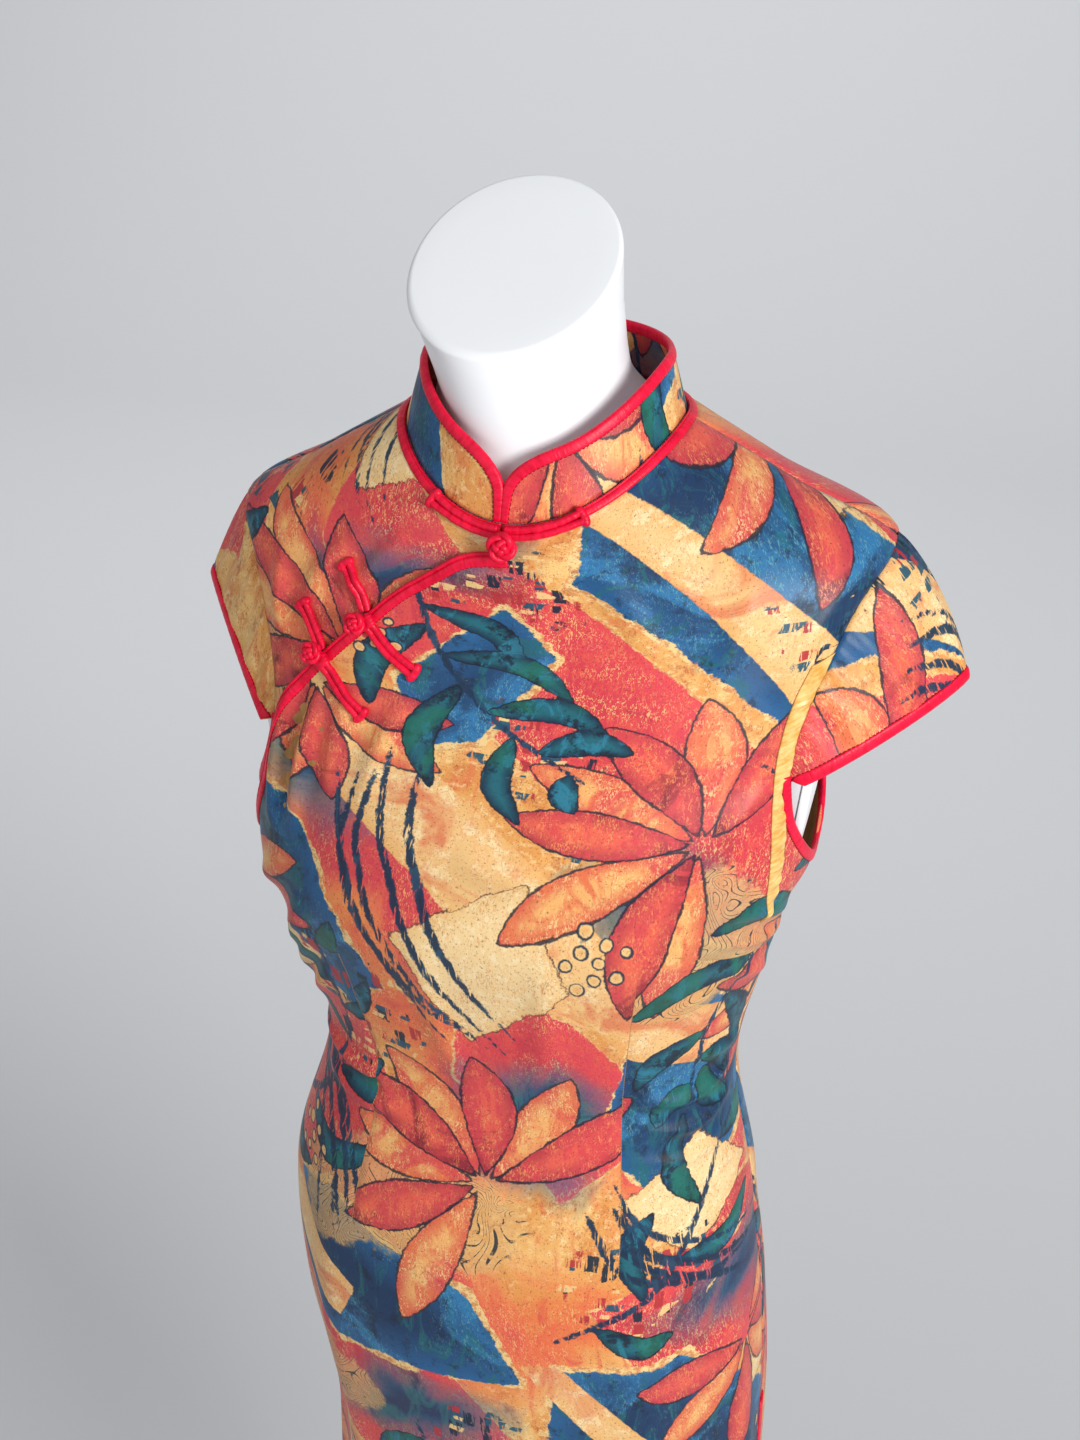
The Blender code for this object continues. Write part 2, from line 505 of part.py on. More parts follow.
# ---------------------------------------------------------------- panels
def make_panels(figure):
    """Front with its flap, under-front and back."""
    flap = edge_path(figure, FRONT, FLAP_EDGE, -1)
    neck_front = neck_path(figure, FRONT, 1.0, SEAM - CENTRE_SHARE)
    flap = np.concatenate([flap, [(flap[-1, 0], neck_front[-1, 1] - 0.006)]])
    skirt = skirt_edge(figure, FRONT)
    side_left = side_seam(figure, FRONT, SLIT_TOP, UNDERARM - 0.004, 1, 20)
    side_right = side_seam(figure, FRONT, SLIT_TOP, UNDERARM - 0.004, -1, 20)
    side_right = side_right[side_right[:, 1] < FLAP_EDGE[0].level - 0.004]
    shoulder = side_seam(figure, FRONT, SHOULDER_POINT + 0.003, neck_front[0, 1] - 0.003, 1, 5)
    outline = np.concatenate([
        skirt, side_left, edge_path(figure, FRONT, ARMHOLE, 1), shoulder, neck_front, flap[::-1],
        side_right[::-1]])
    closing = edge_path(figure, FRONT, FLAP_EDGE[:-3], -1)
    under_binding = figure.aside(FRONT, closing, BINDING_WIDTH + SEAM)
    lap = figure.aside(FRONT, closing, UNDERLAP)
    cut_cloth(figure, "front_panel", FRONT, outline, rise=pressed(figure, flap_rise(figure)), creases=[
        under_binding[1:], lap[2:-1], mitred_inside(skirt, BINDING_WIDTH)[1:-1], *dart_paths(figure),
        armhole_inside(figure, FRONT, 1)])

    foot = FLAP_EDGE[0].level - 0.012
    lap = lap[(lap[:, 1] > foot + 0.006) & (lap[:, 1] < 0.916)]
    neck_under = neck_path(figure, FRONT, -1.0, -CENTRE_SHARE - 0.010)
    centre = neck_under[-1, 0]
    lap = np.concatenate([lap, [(centre + 0.0085, 0.9260), (centre + 0.005, 0.9330),
                                (centre, FLAP_CORNER + 0.001), (centre, neck_under[-1, 1] - 0.006)]])
    side = side_seam(figure, FRONT, foot, UNDERARM - 0.004, -1, 4)
    shoulder = side_seam(figure, FRONT, SHOULDER_POINT + 0.003, neck_under[0, 1] - 0.003, -1, 5)
    outline = np.concatenate([side, edge_path(figure, FRONT, ARMHOLE, -1), shoulder, neck_under, lap[::-1]])
    cut_cloth(figure, "under_front", FRONT, outline, fill=0.022, creases=[
        closing[1:], under_binding[2:-1], armhole_inside(figure, FRONT, -1)[3:]])

    skirt = skirt_edge(figure, BACK)
    side = side_seam(figure, BACK, SLIT_TOP, UNDERARM - 0.004, 1, 20)
    armhole = edge_path(figure, BACK, ARMHOLE, 1, BACK_ARMHOLE_DEPTH)
    neck = neck_path(figure, BACK, 1.0, -1.0)
    shoulder = side_seam(figure, BACK, SHOULDER_POINT + 0.003, neck[0, 1] - 0.003, 1, 5)
    half = np.concatenate([side, armhole, shoulder])
    outline = np.concatenate([skirt, half, neck, half[::-1] * (-1, 1)])
    cut_cloth(figure, "back_panel", BACK, outline, creases=[
        mitred_inside(skirt, BINDING_WIDTH)[1:-1], armhole_inside(figure, BACK, 1),
        armhole_inside(figure, BACK, -1)])


def make_panel_bindings(figure):
    """Red binding on the closing edge, the slits and the hem."""
    flap = edge_path(figure, FRONT, FLAP_EDGE, -1)
    top = figure.below_neck(FRONT, 0, PIPING_WIDTH + 0.0016)
    flap = np.concatenate([flap, [(flap[-1, 0], top)]])
    inner = figure.aside(FRONT, flap[:-3], BINDING_WIDTH)
    beside = flap[-1, 0] + BINDING_WIDTH * 0.8
    inner = np.concatenate([inner, [(beside, inner[-1, 1] + 0.002), (beside, FLAP_CORNER), (beside, top)]])
    outer = figure.aside(FRONT, flap[:-3], -0.0004)
    outline = np.concatenate([outer, flap[-3:] - (0.0003, 0), inner[::-1]])
    cut_cloth(figure, "flap_binding", FRONT, outline, fill=None, rise=flap_rise(figure),
              inner=CLOTH + SEAM + FACET_PLAY / 2, thickness=BINDING, finish="red")
    for name, side in (("front_skirt_binding", FRONT), ("back_skirt_binding", BACK)):
        edge = skirt_edge(figure, side)
        outline = np.concatenate([edge, mitred_inside(edge, BINDING_WIDTH)[::-1]])
        cut_cloth(figure, name, side, outline, fill=None, inner=CLOTH + SEAM, thickness=BINDING, finish="red")


# ---------------------------------------------------------------- bindings folded over an edge
def folded_binding(name, edge, normal, inward, wall, width, play=FACET_PLAY):
    """Binding folded round a wall's edge: a leg on each face, and its back just beyond the edge.

    edge runs along the wall's inner face, normal points to its outer face, inward into the wall, and width is
    one value or one for each point.
    """
    gap = SEAM + play
    sections = []
    for at, out, into, leg in zip(edge, normal, inward, np.broadcast_to(width, len(edge))):
        into = into - out * (into @ out)
        into = into / np.linalg.norm(into)
        profile = ((leg, wall + gap), (leg, wall + gap + BINDING), (-SEAM - BINDING, wall + gap + BINDING),
                   (-SEAM - BINDING, -gap - BINDING), (leg, -gap - BINDING), (leg, -gap), (-SEAM, -gap),
                   (-SEAM, wall + gap))
        sections.append([at + into * s + out * n for s, n in profile])
    swept(name, sections, "red")


def below_sleeve(row):
    """Whether a point of the armhole lies under the arm, where the edge is bound and has no sleeve."""
    return row.level < SLEEVE_START


def make_armhole_binding(figure, sign, name):
    """Binding folded round the underarm: down the front edge, across the side seam and up the back edge."""
    rows = [row for row in ARMHOLE if below_sleeve(row)]
    edge, normal, inward = [], [], []
    for side, depth in ((FRONT, 1.0), (BACK, BACK_ARMHOLE_DEPTH)):
        path = edge_path(figure, side, rows, 1, depth)
        into = figure.aside(side, path, -0.004)
        into = figure.at(side, sign * into[:, 0], into[:, 1])
        place = figure.at(side, sign * path[:, 0], path[:, 1])
        out = figure.at(side, sign * path[:, 0], path[:, 1], 1.0) - place
        turn = slice(None, 0, -1) if side == FRONT else slice(1, None)
        if side == FRONT:
            into[0] = place[0] - (0, 0, 0.004)
        edge += list(place[turn]) + ([place[0]] if side == FRONT else [])
        normal += list(out[turn]) + ([out[0]] if side == FRONT else [])
        inward += list((into - place)[turn]) + ([(into - place)[0]] if side == FRONT else [])
    folded_binding(name, edge, normal, inward, CLOTH, BINDING_WIDTH)


# ---------------------------------------------------------------- sleeves
def sleeve_grid(figure, sleeve):
    """Rows of points from the armhole seam out to the hem, front to back over the shoulder, and the normals."""
    sign = sleeve.side_sign
    roots, ahead, upright = [], [], []
    rows = [row for row in ARMHOLE if not below_sleeve(row)]
    for side, depth in ((FRONT, 1.0), (BACK, BACK_ARMHOLE_DEPTH)):
        path = edge_path(figure, side, rows, 1, depth)
        base = figure.aside(side, path, 2 * SEAM)
        base[-1] = (figure.half(side, path[-1, 1] - 0.0008), path[-1, 1] - 0.0008)
        place = figure.at(side, sign * base[:, 0], base[:, 1])
        inner = figure.at(side, sign * path[:, 0], path[:, 1])
        out = figure.at(side, sign * base[:, 0], base[:, 1], 1.0) - place
        turn = slice(None) if side == FRONT else slice(-2, None, -1)
        roots += list(place[turn])
        ahead += list((place - inner)[turn])
        upright += list(out[turn])
    roots, ahead, upright = np.array(roots), np.array(ahead), np.array(upright)
    ahead /= np.linalg.norm(ahead, axis=1, keepdims=True)
    along = np.concatenate([[0], np.cumsum(np.linalg.norm(np.diff(roots, axis=0), axis=1))])
    turn = along / along[-1] * math.pi
    tip = np.array([sleeve.tip_x, sleeve.tip_y, sleeve.tip_z])
    middle = (roots[0] + roots[-1]) / 2
    ahead_share = np.sign(np.cos(turn)) * np.abs(np.cos(turn)) ** sleeve.hem_power
    out_share = np.sin(turn) ** sleeve.hem_power
    hem = middle + np.outer(ahead_share, (roots[0] - roots[-1]) / 2) + np.outer(out_share, tip - middle)
    hem += np.outer(1 - out_share, (sign * SLEEVE_ROOT_LENGTH, 0, -0.3 * SLEEVE_ROOT_LENGTH))
    length = np.linalg.norm(hem - roots, axis=1)
    swell = 0.25 * ahead + 0.75 * np.array([sign * 0.84, 0, -0.40])
    start = sleeve.fullness * swell + (1 - sleeve.fullness) * (hem - roots) / length[:, None]
    start /= np.linalg.norm(start, axis=1, keepdims=True)
    bulge = roots + start * (length * 0.50)[:, None]
    last = 1 - np.minimum(BINDING_WIDTH + 0.0006, length * 0.8) / length
    grid = []
    for step in np.linspace(0, 1, SLEEVE_ROWS - 1):
        s = (step * last)[:, None]
        grid.append((1 - s) ** 2 * roots + 2 * s * (1 - s) * bulge + s * s * hem)
    grid.append(hem)
    grid = np.array(grid)
    normal = grid_normals(grid, np.array([sign, 0, 1.0]))
    flat = np.cross(np.gradient(hem, axis=0), grid[-1] - grid[-2])
    flat /= np.linalg.norm(flat, axis=1, keepdims=True)
    flat *= np.sign((flat * normal[-2]).sum(1, keepdims=True))
    for end, beside in ((0, 1), (-1, -2)):
        strip = grid[-1, end] - grid[-2, end]
        flat[end] = flat[beside] - strip * (flat[beside] @ strip) / (strip @ strip)
        flat[end] /= np.linalg.norm(flat[end])
    normal[-1], normal[-2] = flat, flat
    normal[0] = upright
    normal[1] = normal[1] + 0.5 * upright
    normal[1] /= np.linalg.norm(normal[1], axis=1, keepdims=True)
    return grid, normal


def grid_normals(grid, outward):
    """Unit normals of a grid of points, turned to the side that outward points to."""
    down, along = np.gradient(grid, axis=0), np.gradient(grid, axis=1)
    normal = np.cross(along, down)
    normal /= np.linalg.norm(normal, axis=2, keepdims=True)
    return normal * np.sign((normal * outward).sum(2).mean())


def make_sleeve(figure, sleeve):
    """A cap sleeve and the binding folded over its hem."""
    grid, normal = sleeve_grid(figure, sleeve)
    rows, columns = grid.shape[:2]
    two_layers(f"sleeve_{sleeve.name}", grid.reshape(-1, 3), (grid + normal * CLOTH).reshape(-1, 3),
               grid_faces(rows, columns), "print")
    taper = np.clip(0.38 + 0.15 * np.minimum(np.arange(columns), np.arange(columns)[::-1]), 0, 0.97)
    width = np.linalg.norm(grid[-2] - grid[-1], axis=1) * taper
    edge, out, into = grid[-1].copy(), normal[-1].copy(), grid[-2] - grid[-1]
    for run in (edge, out, into):
        run[-1] = (run[-1] + run[-2]) / 2       # it stops just short of the armhole at the back
    folded_binding(f"sleeve_binding_{sleeve.name}", edge, out, into, CLOTH, width)


# ---------------------------------------------------------------- collar
def collar_point(turn, share):
    """A point of the collar's outer face; turn is the angle from the front opening, to the wearer's left."""
    angle = turn - math.pi / 2 - COLLAR_TURN
    foot = ring_point(DRESS_RINGS, angle, np.full_like(angle, DRESS_RINGS[-1].level))
    top = ring_point([COLLAR_TOP._replace(level=0.0), COLLAR_TOP._replace(level=1.0)], angle, angle * 0)
    from_front = np.minimum(turn, 2 * math.pi - turn) / COLLAR_CORNER
    gained = np.sqrt(np.clip(1 - (1 - np.clip(from_front, 0, 1)) ** 2.2, 0, 1))
    height = COLLAR_FRONT_SHARE + (1 - COLLAR_FRONT_SHARE) * gained
    outward = np.stack([np.cos(angle), np.sin(angle), np.zeros_like(angle)], 1)
    start = foot - outward * 0.0002 + np.array([0, 0, 0.0008])
    return start + (top - start) * (height * share)[:, None]


def collar_turns():
    """Angles of the collar's columns, from one edge of the front opening round to the other."""
    corner = COLLAR_OPENING / 2 + COLLAR_CORNER * np.array([0, 0.05, 0.14, 0.28, 0.48, 0.74])
    rest = np.linspace(COLLAR_CORNER + 0.03, 2 * math.pi - COLLAR_CORNER - 0.03, 25)
    return np.concatenate([corner, rest, 2 * math.pi - corner[::-1]])


def make_collar(figure):
    """The stand collar, the binding round its free edges, and the cord in the neck seam."""
    turns, rows = collar_turns(), 4
    grid = np.array([collar_point(turns, np.full_like(turns, share)) for share in np.linspace(0, 1, rows)])
    outward = np.stack([np.sin(turns - COLLAR_TURN), -np.cos(turns - COLLAR_TURN), 0 * turns], 1)
    normal = grid_normals(grid, np.broadcast_to(outward, grid.shape))
    inner = grid - normal * COLLAR_CLOTH
    two_layers("collar_band", inner.reshape(-1, 3), grid.reshape(-1, 3), grid_faces(rows, len(turns)), "print")

    edge = np.concatenate([inner[:-1, 0], inner[-1], inner[:-1, -1][::-1]])
    out = np.concatenate([normal[:-1, 0], normal[-1], normal[:-1, -1][::-1]])
    edge[0, 2] += 0.0004
    edge[-1, 2] += 0.0004
    into = np.cross(out, np.gradient(edge, axis=0))
    into *= np.sign(into[len(into) // 2, 2]) * -1
    folded_binding("collar_binding", edge, out, into, COLLAR_CLOTH, COLLAR_BINDING_WIDTH)

    sections = []
    places = [(FRONT, share) for share in neck_shares(0.012 - CENTRE_SHARE, 1.0)]
    places += [(BACK, share) for share in neck_shares(1.0, -1.0)[1:-1]]
    places += [(FRONT, share) for share in neck_shares(-1.0, -0.012 - CENTRE_SHARE)]
    for side, share in places:
        profile = ((1.0, 0.0), (1.0, 0.0017), (0.55, 0.0027), (0.06, 0.0019), (0.06, 0.0))
        section = []
        for down, lift in profile:
            level = figure.below_neck(side, share, PIPING_WIDTH * down)
            section.append(figure.at(side, share * figure.half(side, level), level, lift))
        sections.append(section)
    swept("neck_piping", sections, "red")


# ---------------------------------------------------------------- frogs
def laid_cord(figure, name, path, lifts, folded_end):
    """Two cords side by side along a path on the front, as one bar; folded_end is the end that is turned under."""
    path = np.asarray(path, float)
    lifts = np.broadcast_to(lifts, len(path))
    centre = figure.at(FRONT, path[:, 0], path[:, 1], lifts)
    out = figure.at(FRONT, path[:, 0], path[:, 1], lifts + 1.0) - centre
    along = np.gradient(centre, axis=0)
    along /= np.linalg.norm(along, axis=1, keepdims=True)
    across = np.cross(out, along)
    from_end = np.abs(np.linspace(0, 1, len(path)) - folded_end)
    wide = 1 + FOLD_FLARE * np.clip(1 - (from_end - 0.08) / 0.08, 0, 1)
    sections = []
    for at, aside, up, k in zip(centre, across, out, wide):
        sections.append([at + aside * (s * FROG_CORD_WIDTH * k) + up * (n * FROG_CORD_HEIGHT)
                         for s, n in CORD_PAIR])
    swept(name, sections, "red")


def bowed(start, end, bow, count=10):
    """A flat path between two points that bows sideways."""
    start, end = np.asarray(start, float), np.asarray(end, float)
    run = end - start
    aside = np.array([run[1], -run[0]]) / np.linalg.norm(run)
    share = np.linspace(0, 1, count)
    return start + np.outer(share, run) + np.outer(np.sin(share * math.pi) * bow, aside)


def on_front(figure, share, level):
    """A place on the front given by its share of the half width, as (across, level)."""
    return np.array([share * figure.half(FRONT, level), level])


def add_knot(figure, name, place, lift, stretch=1.0):
    """The button: a ball with four shallow lobes, resting lift above the figure."""
    out = figure.at(FRONT, place[0], place[1], 1.0) - figure.at(FRONT, place[0], place[1])
    centre = figure.at(FRONT, place[0], place[1], lift + KNOT_RADIUS * 0.86)
    aside = np.cross(out, (0, 0, 1.0))
    aside /= np.linalg.norm(aside)
    up = np.cross(aside, out)
    rings, count = 7, 16
    points = [centre + out * KNOT_RADIUS * 0.86]
    for i in range(1, rings):
        polar = math.pi * i / rings
        for k in range(count):
            turn = 2 * math.pi * k / count
            radius = KNOT_RADIUS * (1 + 0.09 * math.cos(4 * turn) * math.sin(polar)) * math.sin(polar)
            points.append(centre + out * (KNOT_RADIUS * 0.86 * math.cos(polar)) + (
                aside * math.cos(turn) + up * math.sin(turn) * stretch) * radius)
    points.append(centre - out * KNOT_RADIUS * 0.86)
    last = len(points) - 1
    faces = [(0, 1 + k, 1 + (k + 1) % count) for k in range(count)]
    for i in range(rings - 2):
        for k in range(count):
            a, b = 1 + i * count + k, 1 + i * count + (k + 1) % count
            faces.append((a, a + count, b + count, b))
    faces += [(last, last - count + (k + 1) % count, last - count + k) for k in range(count)]
    add_solid(name, points, faces, "red")


def make_frogs(figure):
    """Three knotted fastenings: at the collar, in the middle of the closing and near the underarm."""
    rise = flap_rise(figure)
    clear = CLOTH + SEAM + FACET_PLAY
    for frog in FROGS:
        upper, closing, lower = (on_front(figure, *p) for p in (frog.upper_end, frog.closing, frog.lower_end))
        run = (closing - upper) / np.linalg.norm(closing - upper)
        stop = closing - run * 0.0036
        path = bowed(upper, stop, -frog.bow * 0.4)
        laid_cord(figure, f"frog_{frog.name}_upper", path, clear, 0.0)
        path = bowed(closing - run * 0.0008, lower, frog.bow)
        gone = np.linalg.norm(path - path[0], axis=1)
        on_binding = 1 - np.clip((gone - BINDING_WIDTH * 1.3) / 0.006, 0, 1)
        lifts = rise(path[:, 0], path[:, 1]) + clear + (BINDING + SEAM) * on_binding
        laid_cord(figure, f"frog_{frog.name}_lower", path, lifts, 1.0)
        add_knot(figure, f"frog_{frog.name}_knot", on_front(figure, *frog.knot),
                 FLAP_RISE + clear + BINDING - 0.0004)

    for name, start, end in (("left", 0.010, 0.283), ("right", -0.100, -0.367)):
        path = []
        for share in np.linspace(start, end, 10):
            level = figure.below_neck(FRONT, share, PIPING_WIDTH * 0.7)
            path.append(on_front(figure, share, level))
        laid_cord(figure, f"frog_collar_{name}", path, 0.0027 + SEAM + FACET_PLAY, 1.0)
    spot = on_front(figure, -0.058, figure.below_neck(FRONT, 0, PIPING_WIDTH + 0.0060))
    add_knot(figure, "frog_collar_knot", spot, FLAP_RISE + CLOTH + BINDING + 2 * SEAM, stretch=1.15)


# ---------------------------------------------------------------- dress form and stand
def make_form():
    """The figure from the seat to the slanting cut of the neck, as one smooth closed body."""
    columns = 36
    angle = np.linspace(0, 2 * math.pi, columns, endpoint=False) - math.pi
    levels = [0.0, 0.03, 0.07, 0.12, 0.17, 0.205, 0.24, 0.275, 0.31, 0.338, 0.365, 0.391, 0.43,
              0.473, 0.51, 0.545, 0.578, 0.600, 0.626, 0.652, 0.680, 0.694, 0.708, 0.73]
    rings = [ring_point(FORM_RINGS, angle, np.full_like(angle, level)) for level in levels]
    rings.append(ring_point(FORM_RINGS, angle, np.full_like(angle, FORM_RINGS[-1].level)))
    cut = NECK_CUT
    for drop, shrink in ((1.0, 0.0), (0.3, 0.3), (0.0, 1.0)):
        radius = cut.radius - cut.rounding * shrink
        x, y = radius * np.cos(angle), radius * np.sin(angle)
        z = cut.z + cut.climb_left * x + cut.climb_back * y - cut.rounding * drop
        rings.append(np.stack([cut.x + x, cut.y + y, z], 1))
    seat = rings[0].copy()
    seat[:, :2] = seat[:, :2].mean(0) + (seat[:, :2] - seat[:, :2].mean(0)) * 0.93
    seat[:, 2] -= 0.006
    rings.insert(0, seat)
    points = np.concatenate(rings)
    faces = grid_faces(len(rings), columns, ring=True)
    faces.append(tuple(reversed(range(columns))))
    faces.append(tuple(range(len(points) - columns, len(points))))
    add_solid("form_body", points, faces, "form")


def turned(name, profile, finish, columns=32):
    """A solid of revolution about Z from (radius, height) points, listed from the axis out and back to it."""
    points, faces = [(0, 0, profile[0][1])], []
    for radius, height in profile[1:-1]:
        for k in range(columns):
            turn = 2 * math.pi * k / columns
            points.append((radius * math.cos(turn), radius * math.sin(turn), height))
    points.append((0, 0, profile[-1][1]))
    for k in range(columns):
        faces.append((0, 1 + (k + 1) % columns, 1 + k))
        for i in range(len(profile) - 3):
            a, b = 1 + i * columns + k, 1 + i * columns + (k + 1) % columns
            faces.append((a, b, b + columns, a + columns))
        last = 1 + (len(profile) - 3) * columns
        faces.append((len(points) - 1, last + k, last + (k + 1) % columns))
    add_solid(name, points, faces, finish)


def make_stand():
    """A round foot with a short socket, and the pole that goes up into the form."""
    seat = FORM_RINGS[0].z - 0.006
    socket = FOOT_HEIGHT + 0.040
    turned("stand_foot", (
        (0, 0), (FOOT_RADIUS - 0.001, 0), (FOOT_RADIUS, 0.001), (FOOT_RADIUS, FOOT_HEIGHT * 0.55),
        (FOOT_RADIUS - 0.005, FOOT_HEIGHT), (POLE_RADIUS + 0.010, FOOT_HEIGHT + 0.003),
        (POLE_RADIUS + 0.006, FOOT_HEIGHT + 0.007), (POLE_RADIUS + 0.006, socket - 0.001),
        (POLE_RADIUS + 0.005, socket), (0, socket)), "steel", columns=36)
    turned("stand_pole", (
        (0, socket + SEAM), (POLE_RADIUS, socket + SEAM), (POLE_RADIUS, seat - 0.0223), (0, seat - 0.0223)),
        "steel", columns=24)
    turned("stand_flange", (
        (0, seat - 0.022), (POLE_RADIUS + 0.006, seat - 0.022), (POLE_RADIUS + 0.006, seat - 0.006),
        (0.045, seat - 0.004), (0.045, seat - SEAM), (0, seat - SEAM)), "steel", columns=32)


def main():
    """Clears the scene and makes the dress, its form and the stand."""
    for found in list(bpy.data.objects):
        bpy.data.objects.remove(found)
    figure = Figure(DRESS_RINGS)
    make_panels(figure)
    make_panel_bindings(figure)
    for sleeve in SLEEVES:
        make_sleeve(figure, sleeve)
        make_armhole_binding(figure, sleeve.side_sign, f"armhole_binding_{sleeve.name}")
    make_collar(figure)
    make_frogs(figure)
    make_form()
    make_stand()


main()
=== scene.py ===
"""A cheongsam on a limbless dress form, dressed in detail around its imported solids.

Metres, +Z up; the wearer faces -Y and the wearer's left is +X. A place on the dress is (side, across, level):
side is FRONT or BACK, across runs along the cloth from the centre line and level up the cloth from the hem. A path
is a row of places as (across, level), and a share is a place across, as a share of the way to the side seam.
"""

import json
import logging
import math
from collections.abc import Callable, Sequence
from dataclasses import dataclass, replace
from enum import IntEnum
from functools import partial

import bpy
import numpy as np
from mathutils import Matrix, Vector, geometry, kdtree

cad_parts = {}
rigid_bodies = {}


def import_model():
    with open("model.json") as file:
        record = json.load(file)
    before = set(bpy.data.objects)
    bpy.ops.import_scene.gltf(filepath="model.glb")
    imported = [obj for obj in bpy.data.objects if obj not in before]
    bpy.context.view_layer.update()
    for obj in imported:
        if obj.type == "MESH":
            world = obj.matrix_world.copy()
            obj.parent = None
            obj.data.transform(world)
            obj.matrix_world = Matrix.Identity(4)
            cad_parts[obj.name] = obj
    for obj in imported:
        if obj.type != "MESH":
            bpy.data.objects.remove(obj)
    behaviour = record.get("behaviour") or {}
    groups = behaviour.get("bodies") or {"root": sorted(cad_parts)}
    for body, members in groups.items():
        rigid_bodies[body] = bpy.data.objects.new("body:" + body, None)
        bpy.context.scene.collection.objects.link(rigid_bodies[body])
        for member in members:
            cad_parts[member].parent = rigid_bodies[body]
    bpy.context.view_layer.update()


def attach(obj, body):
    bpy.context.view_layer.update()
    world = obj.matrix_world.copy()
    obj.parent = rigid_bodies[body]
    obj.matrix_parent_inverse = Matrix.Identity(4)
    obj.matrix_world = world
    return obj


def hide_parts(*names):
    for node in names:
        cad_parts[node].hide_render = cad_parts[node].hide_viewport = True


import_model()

LOG = logging.getLogger("cheongsam")
MM = .001
QUARTER_TURN, HALF_TURN, TURN = math.pi / 2, math.pi, 2 * math.pi
Array, Piece, Tree, Node = np.ndarray, bpy.types.Object, bpy.types.NodeTree, bpy.types.Node
Pair, Triple, Faces = tuple[float, float], tuple[float, float, float], list[tuple[int, ...]]
Body = tuple[Array, Faces, Array]       # points, faces, and where each point lies along and around, in metres
Lift = Callable[[Array], Array]         # how far the cloth stands off the figure at each place of a path

# ---- sizes shared by the pieces, in metres
CLOTH, COLLAR_CLOTH, SEAM = .0014, .0022, .0003
BINDING_WIDTH, PIPING_WIDTH = .0058, .0052
FLAP_RISE, UNDERLAP = .0028, .018     # the flap lies on the under-front, which runs on beneath it
SLIT_TOP, SLIT_SPREAD = .248, .009
SHOULDER_POINT, UNDERARM, SLEEVE_START, FLAP_CORNER = .8825, .688, .757, .939       # levels
BACK_ARMHOLE_DEPTH, CENTRE_SHARE = .82, .046
SEAM_STEP = .002           # what the panels' edges leave free below a corner
CLEAR = .0001              # keeps stitches and linings off the face they lie on


class Side(IntEnum):
    """A half of the dress; its number is the way that it faces along Y."""

    FRONT = -1
    BACK = 1


FRONT, BACK = Side


@dataclass(frozen=True)
class Ring:
    """One ring round the figure.

    level is measured up the cloth, z is the height at the side, rise_front and rise_back are how much higher it
    passes at the centre front and back, and lean is how much it climbs towards the wearer's left, as a slope.
    """

    level: float
    z: float
    rise_front: float
    rise_back: float
    half_width: float
    front: float
    back: float
    x: float
    y: float
    square: float = 2.0
    lean: float = 0.0


DRESS_RINGS = [Ring(*row) for row in ((0, .5, 0, 0, .146, .1, .108, .012, .018, 2.3),
    (.2, .7, 0, 0, .14, .106, .116, .012, .016, 2.3), (.34, .84, 0, 0, .148, .108, .118, -.002, .012, 2.3),
    (.42, .92, 0, 0, .144, .102, .108, -.008, .008, 2.25), (.53, 1.03, 0, 0, .123, .088, .086, -.004, .004, 2.15),
    (.6, 1.1, 0, 0, .137, .104, .088, -.006, .004, 2.2), (.657, 1.155, .016, 0, .149, .124, .09, -.006, .004, 2.35),
    (.683, 1.178, .026, 0, .155, .124, .093, -.002, .004, 2.35), (.765, 1.257, .006, .01, .165, .11, .098, .004, .008,
    2.3, .012), (.875, 1.3545, -.022, -.008, .1755, .088, .088, .007, .01, 2.15, .022), (.925, 1.3875, -.0255, -.004,
    .1245, .08, .074, .001, .004, 2.1, .036), (.975, 1.418, -.0355, .004, .072, .0722, .064, -.002, 0, 2, .052))]
FORM_RINGS = [Ring(*row) for row in ((0, .79, 0, 0, .128, .092, .1, .004, .013, 2.3),
    (.05, .84, 0, 0, .14, .101, .11, -.001, .012, 2.3), (.13, .92, 0, 0, .134, .094, .099, -.008, .008, 2.25),
    (.24, 1.03, 0, 0, .112, .079, .077, -.004, .004, 2.15), (.31, 1.1, 0, 0, .122, .093, .08, -.005, .004, 2.2), (.365,
    1.155, .016, 0, .132, .114, .087, -.001, .004, 2.35), (.391, 1.178, .024, 0, .134, .113, .089, .001, .004, 2.35),
    (.473, 1.257, .004, .008, .144, .102, .091, .004, .008, 2.3, .012), (.578, 1.3521, -.021, -.008, .1705, .0843,
    .0845, .007, .01, 2.15, .022), (.626, 1.3859, -.0255, -.0045, .1224, .0771, .0713, .001, .004, 2.1, .036),
    (.68, 1.4165, -.036, .003, .0645, .0635, .0555, -.002, 0, 2, .052), (.708, 1.442, -.028, .004, .049, .0525, .052,
    -.008, -.004, 2, .01), (.755, 1.476, -.026, .016, .0528, .053, .0535, -.0165, -.0062))]
COLLAR_TOP = Ring(1.02, 1.45, -.034, 0, .063, .067, .0605, -.0018, 0, 2, .036)

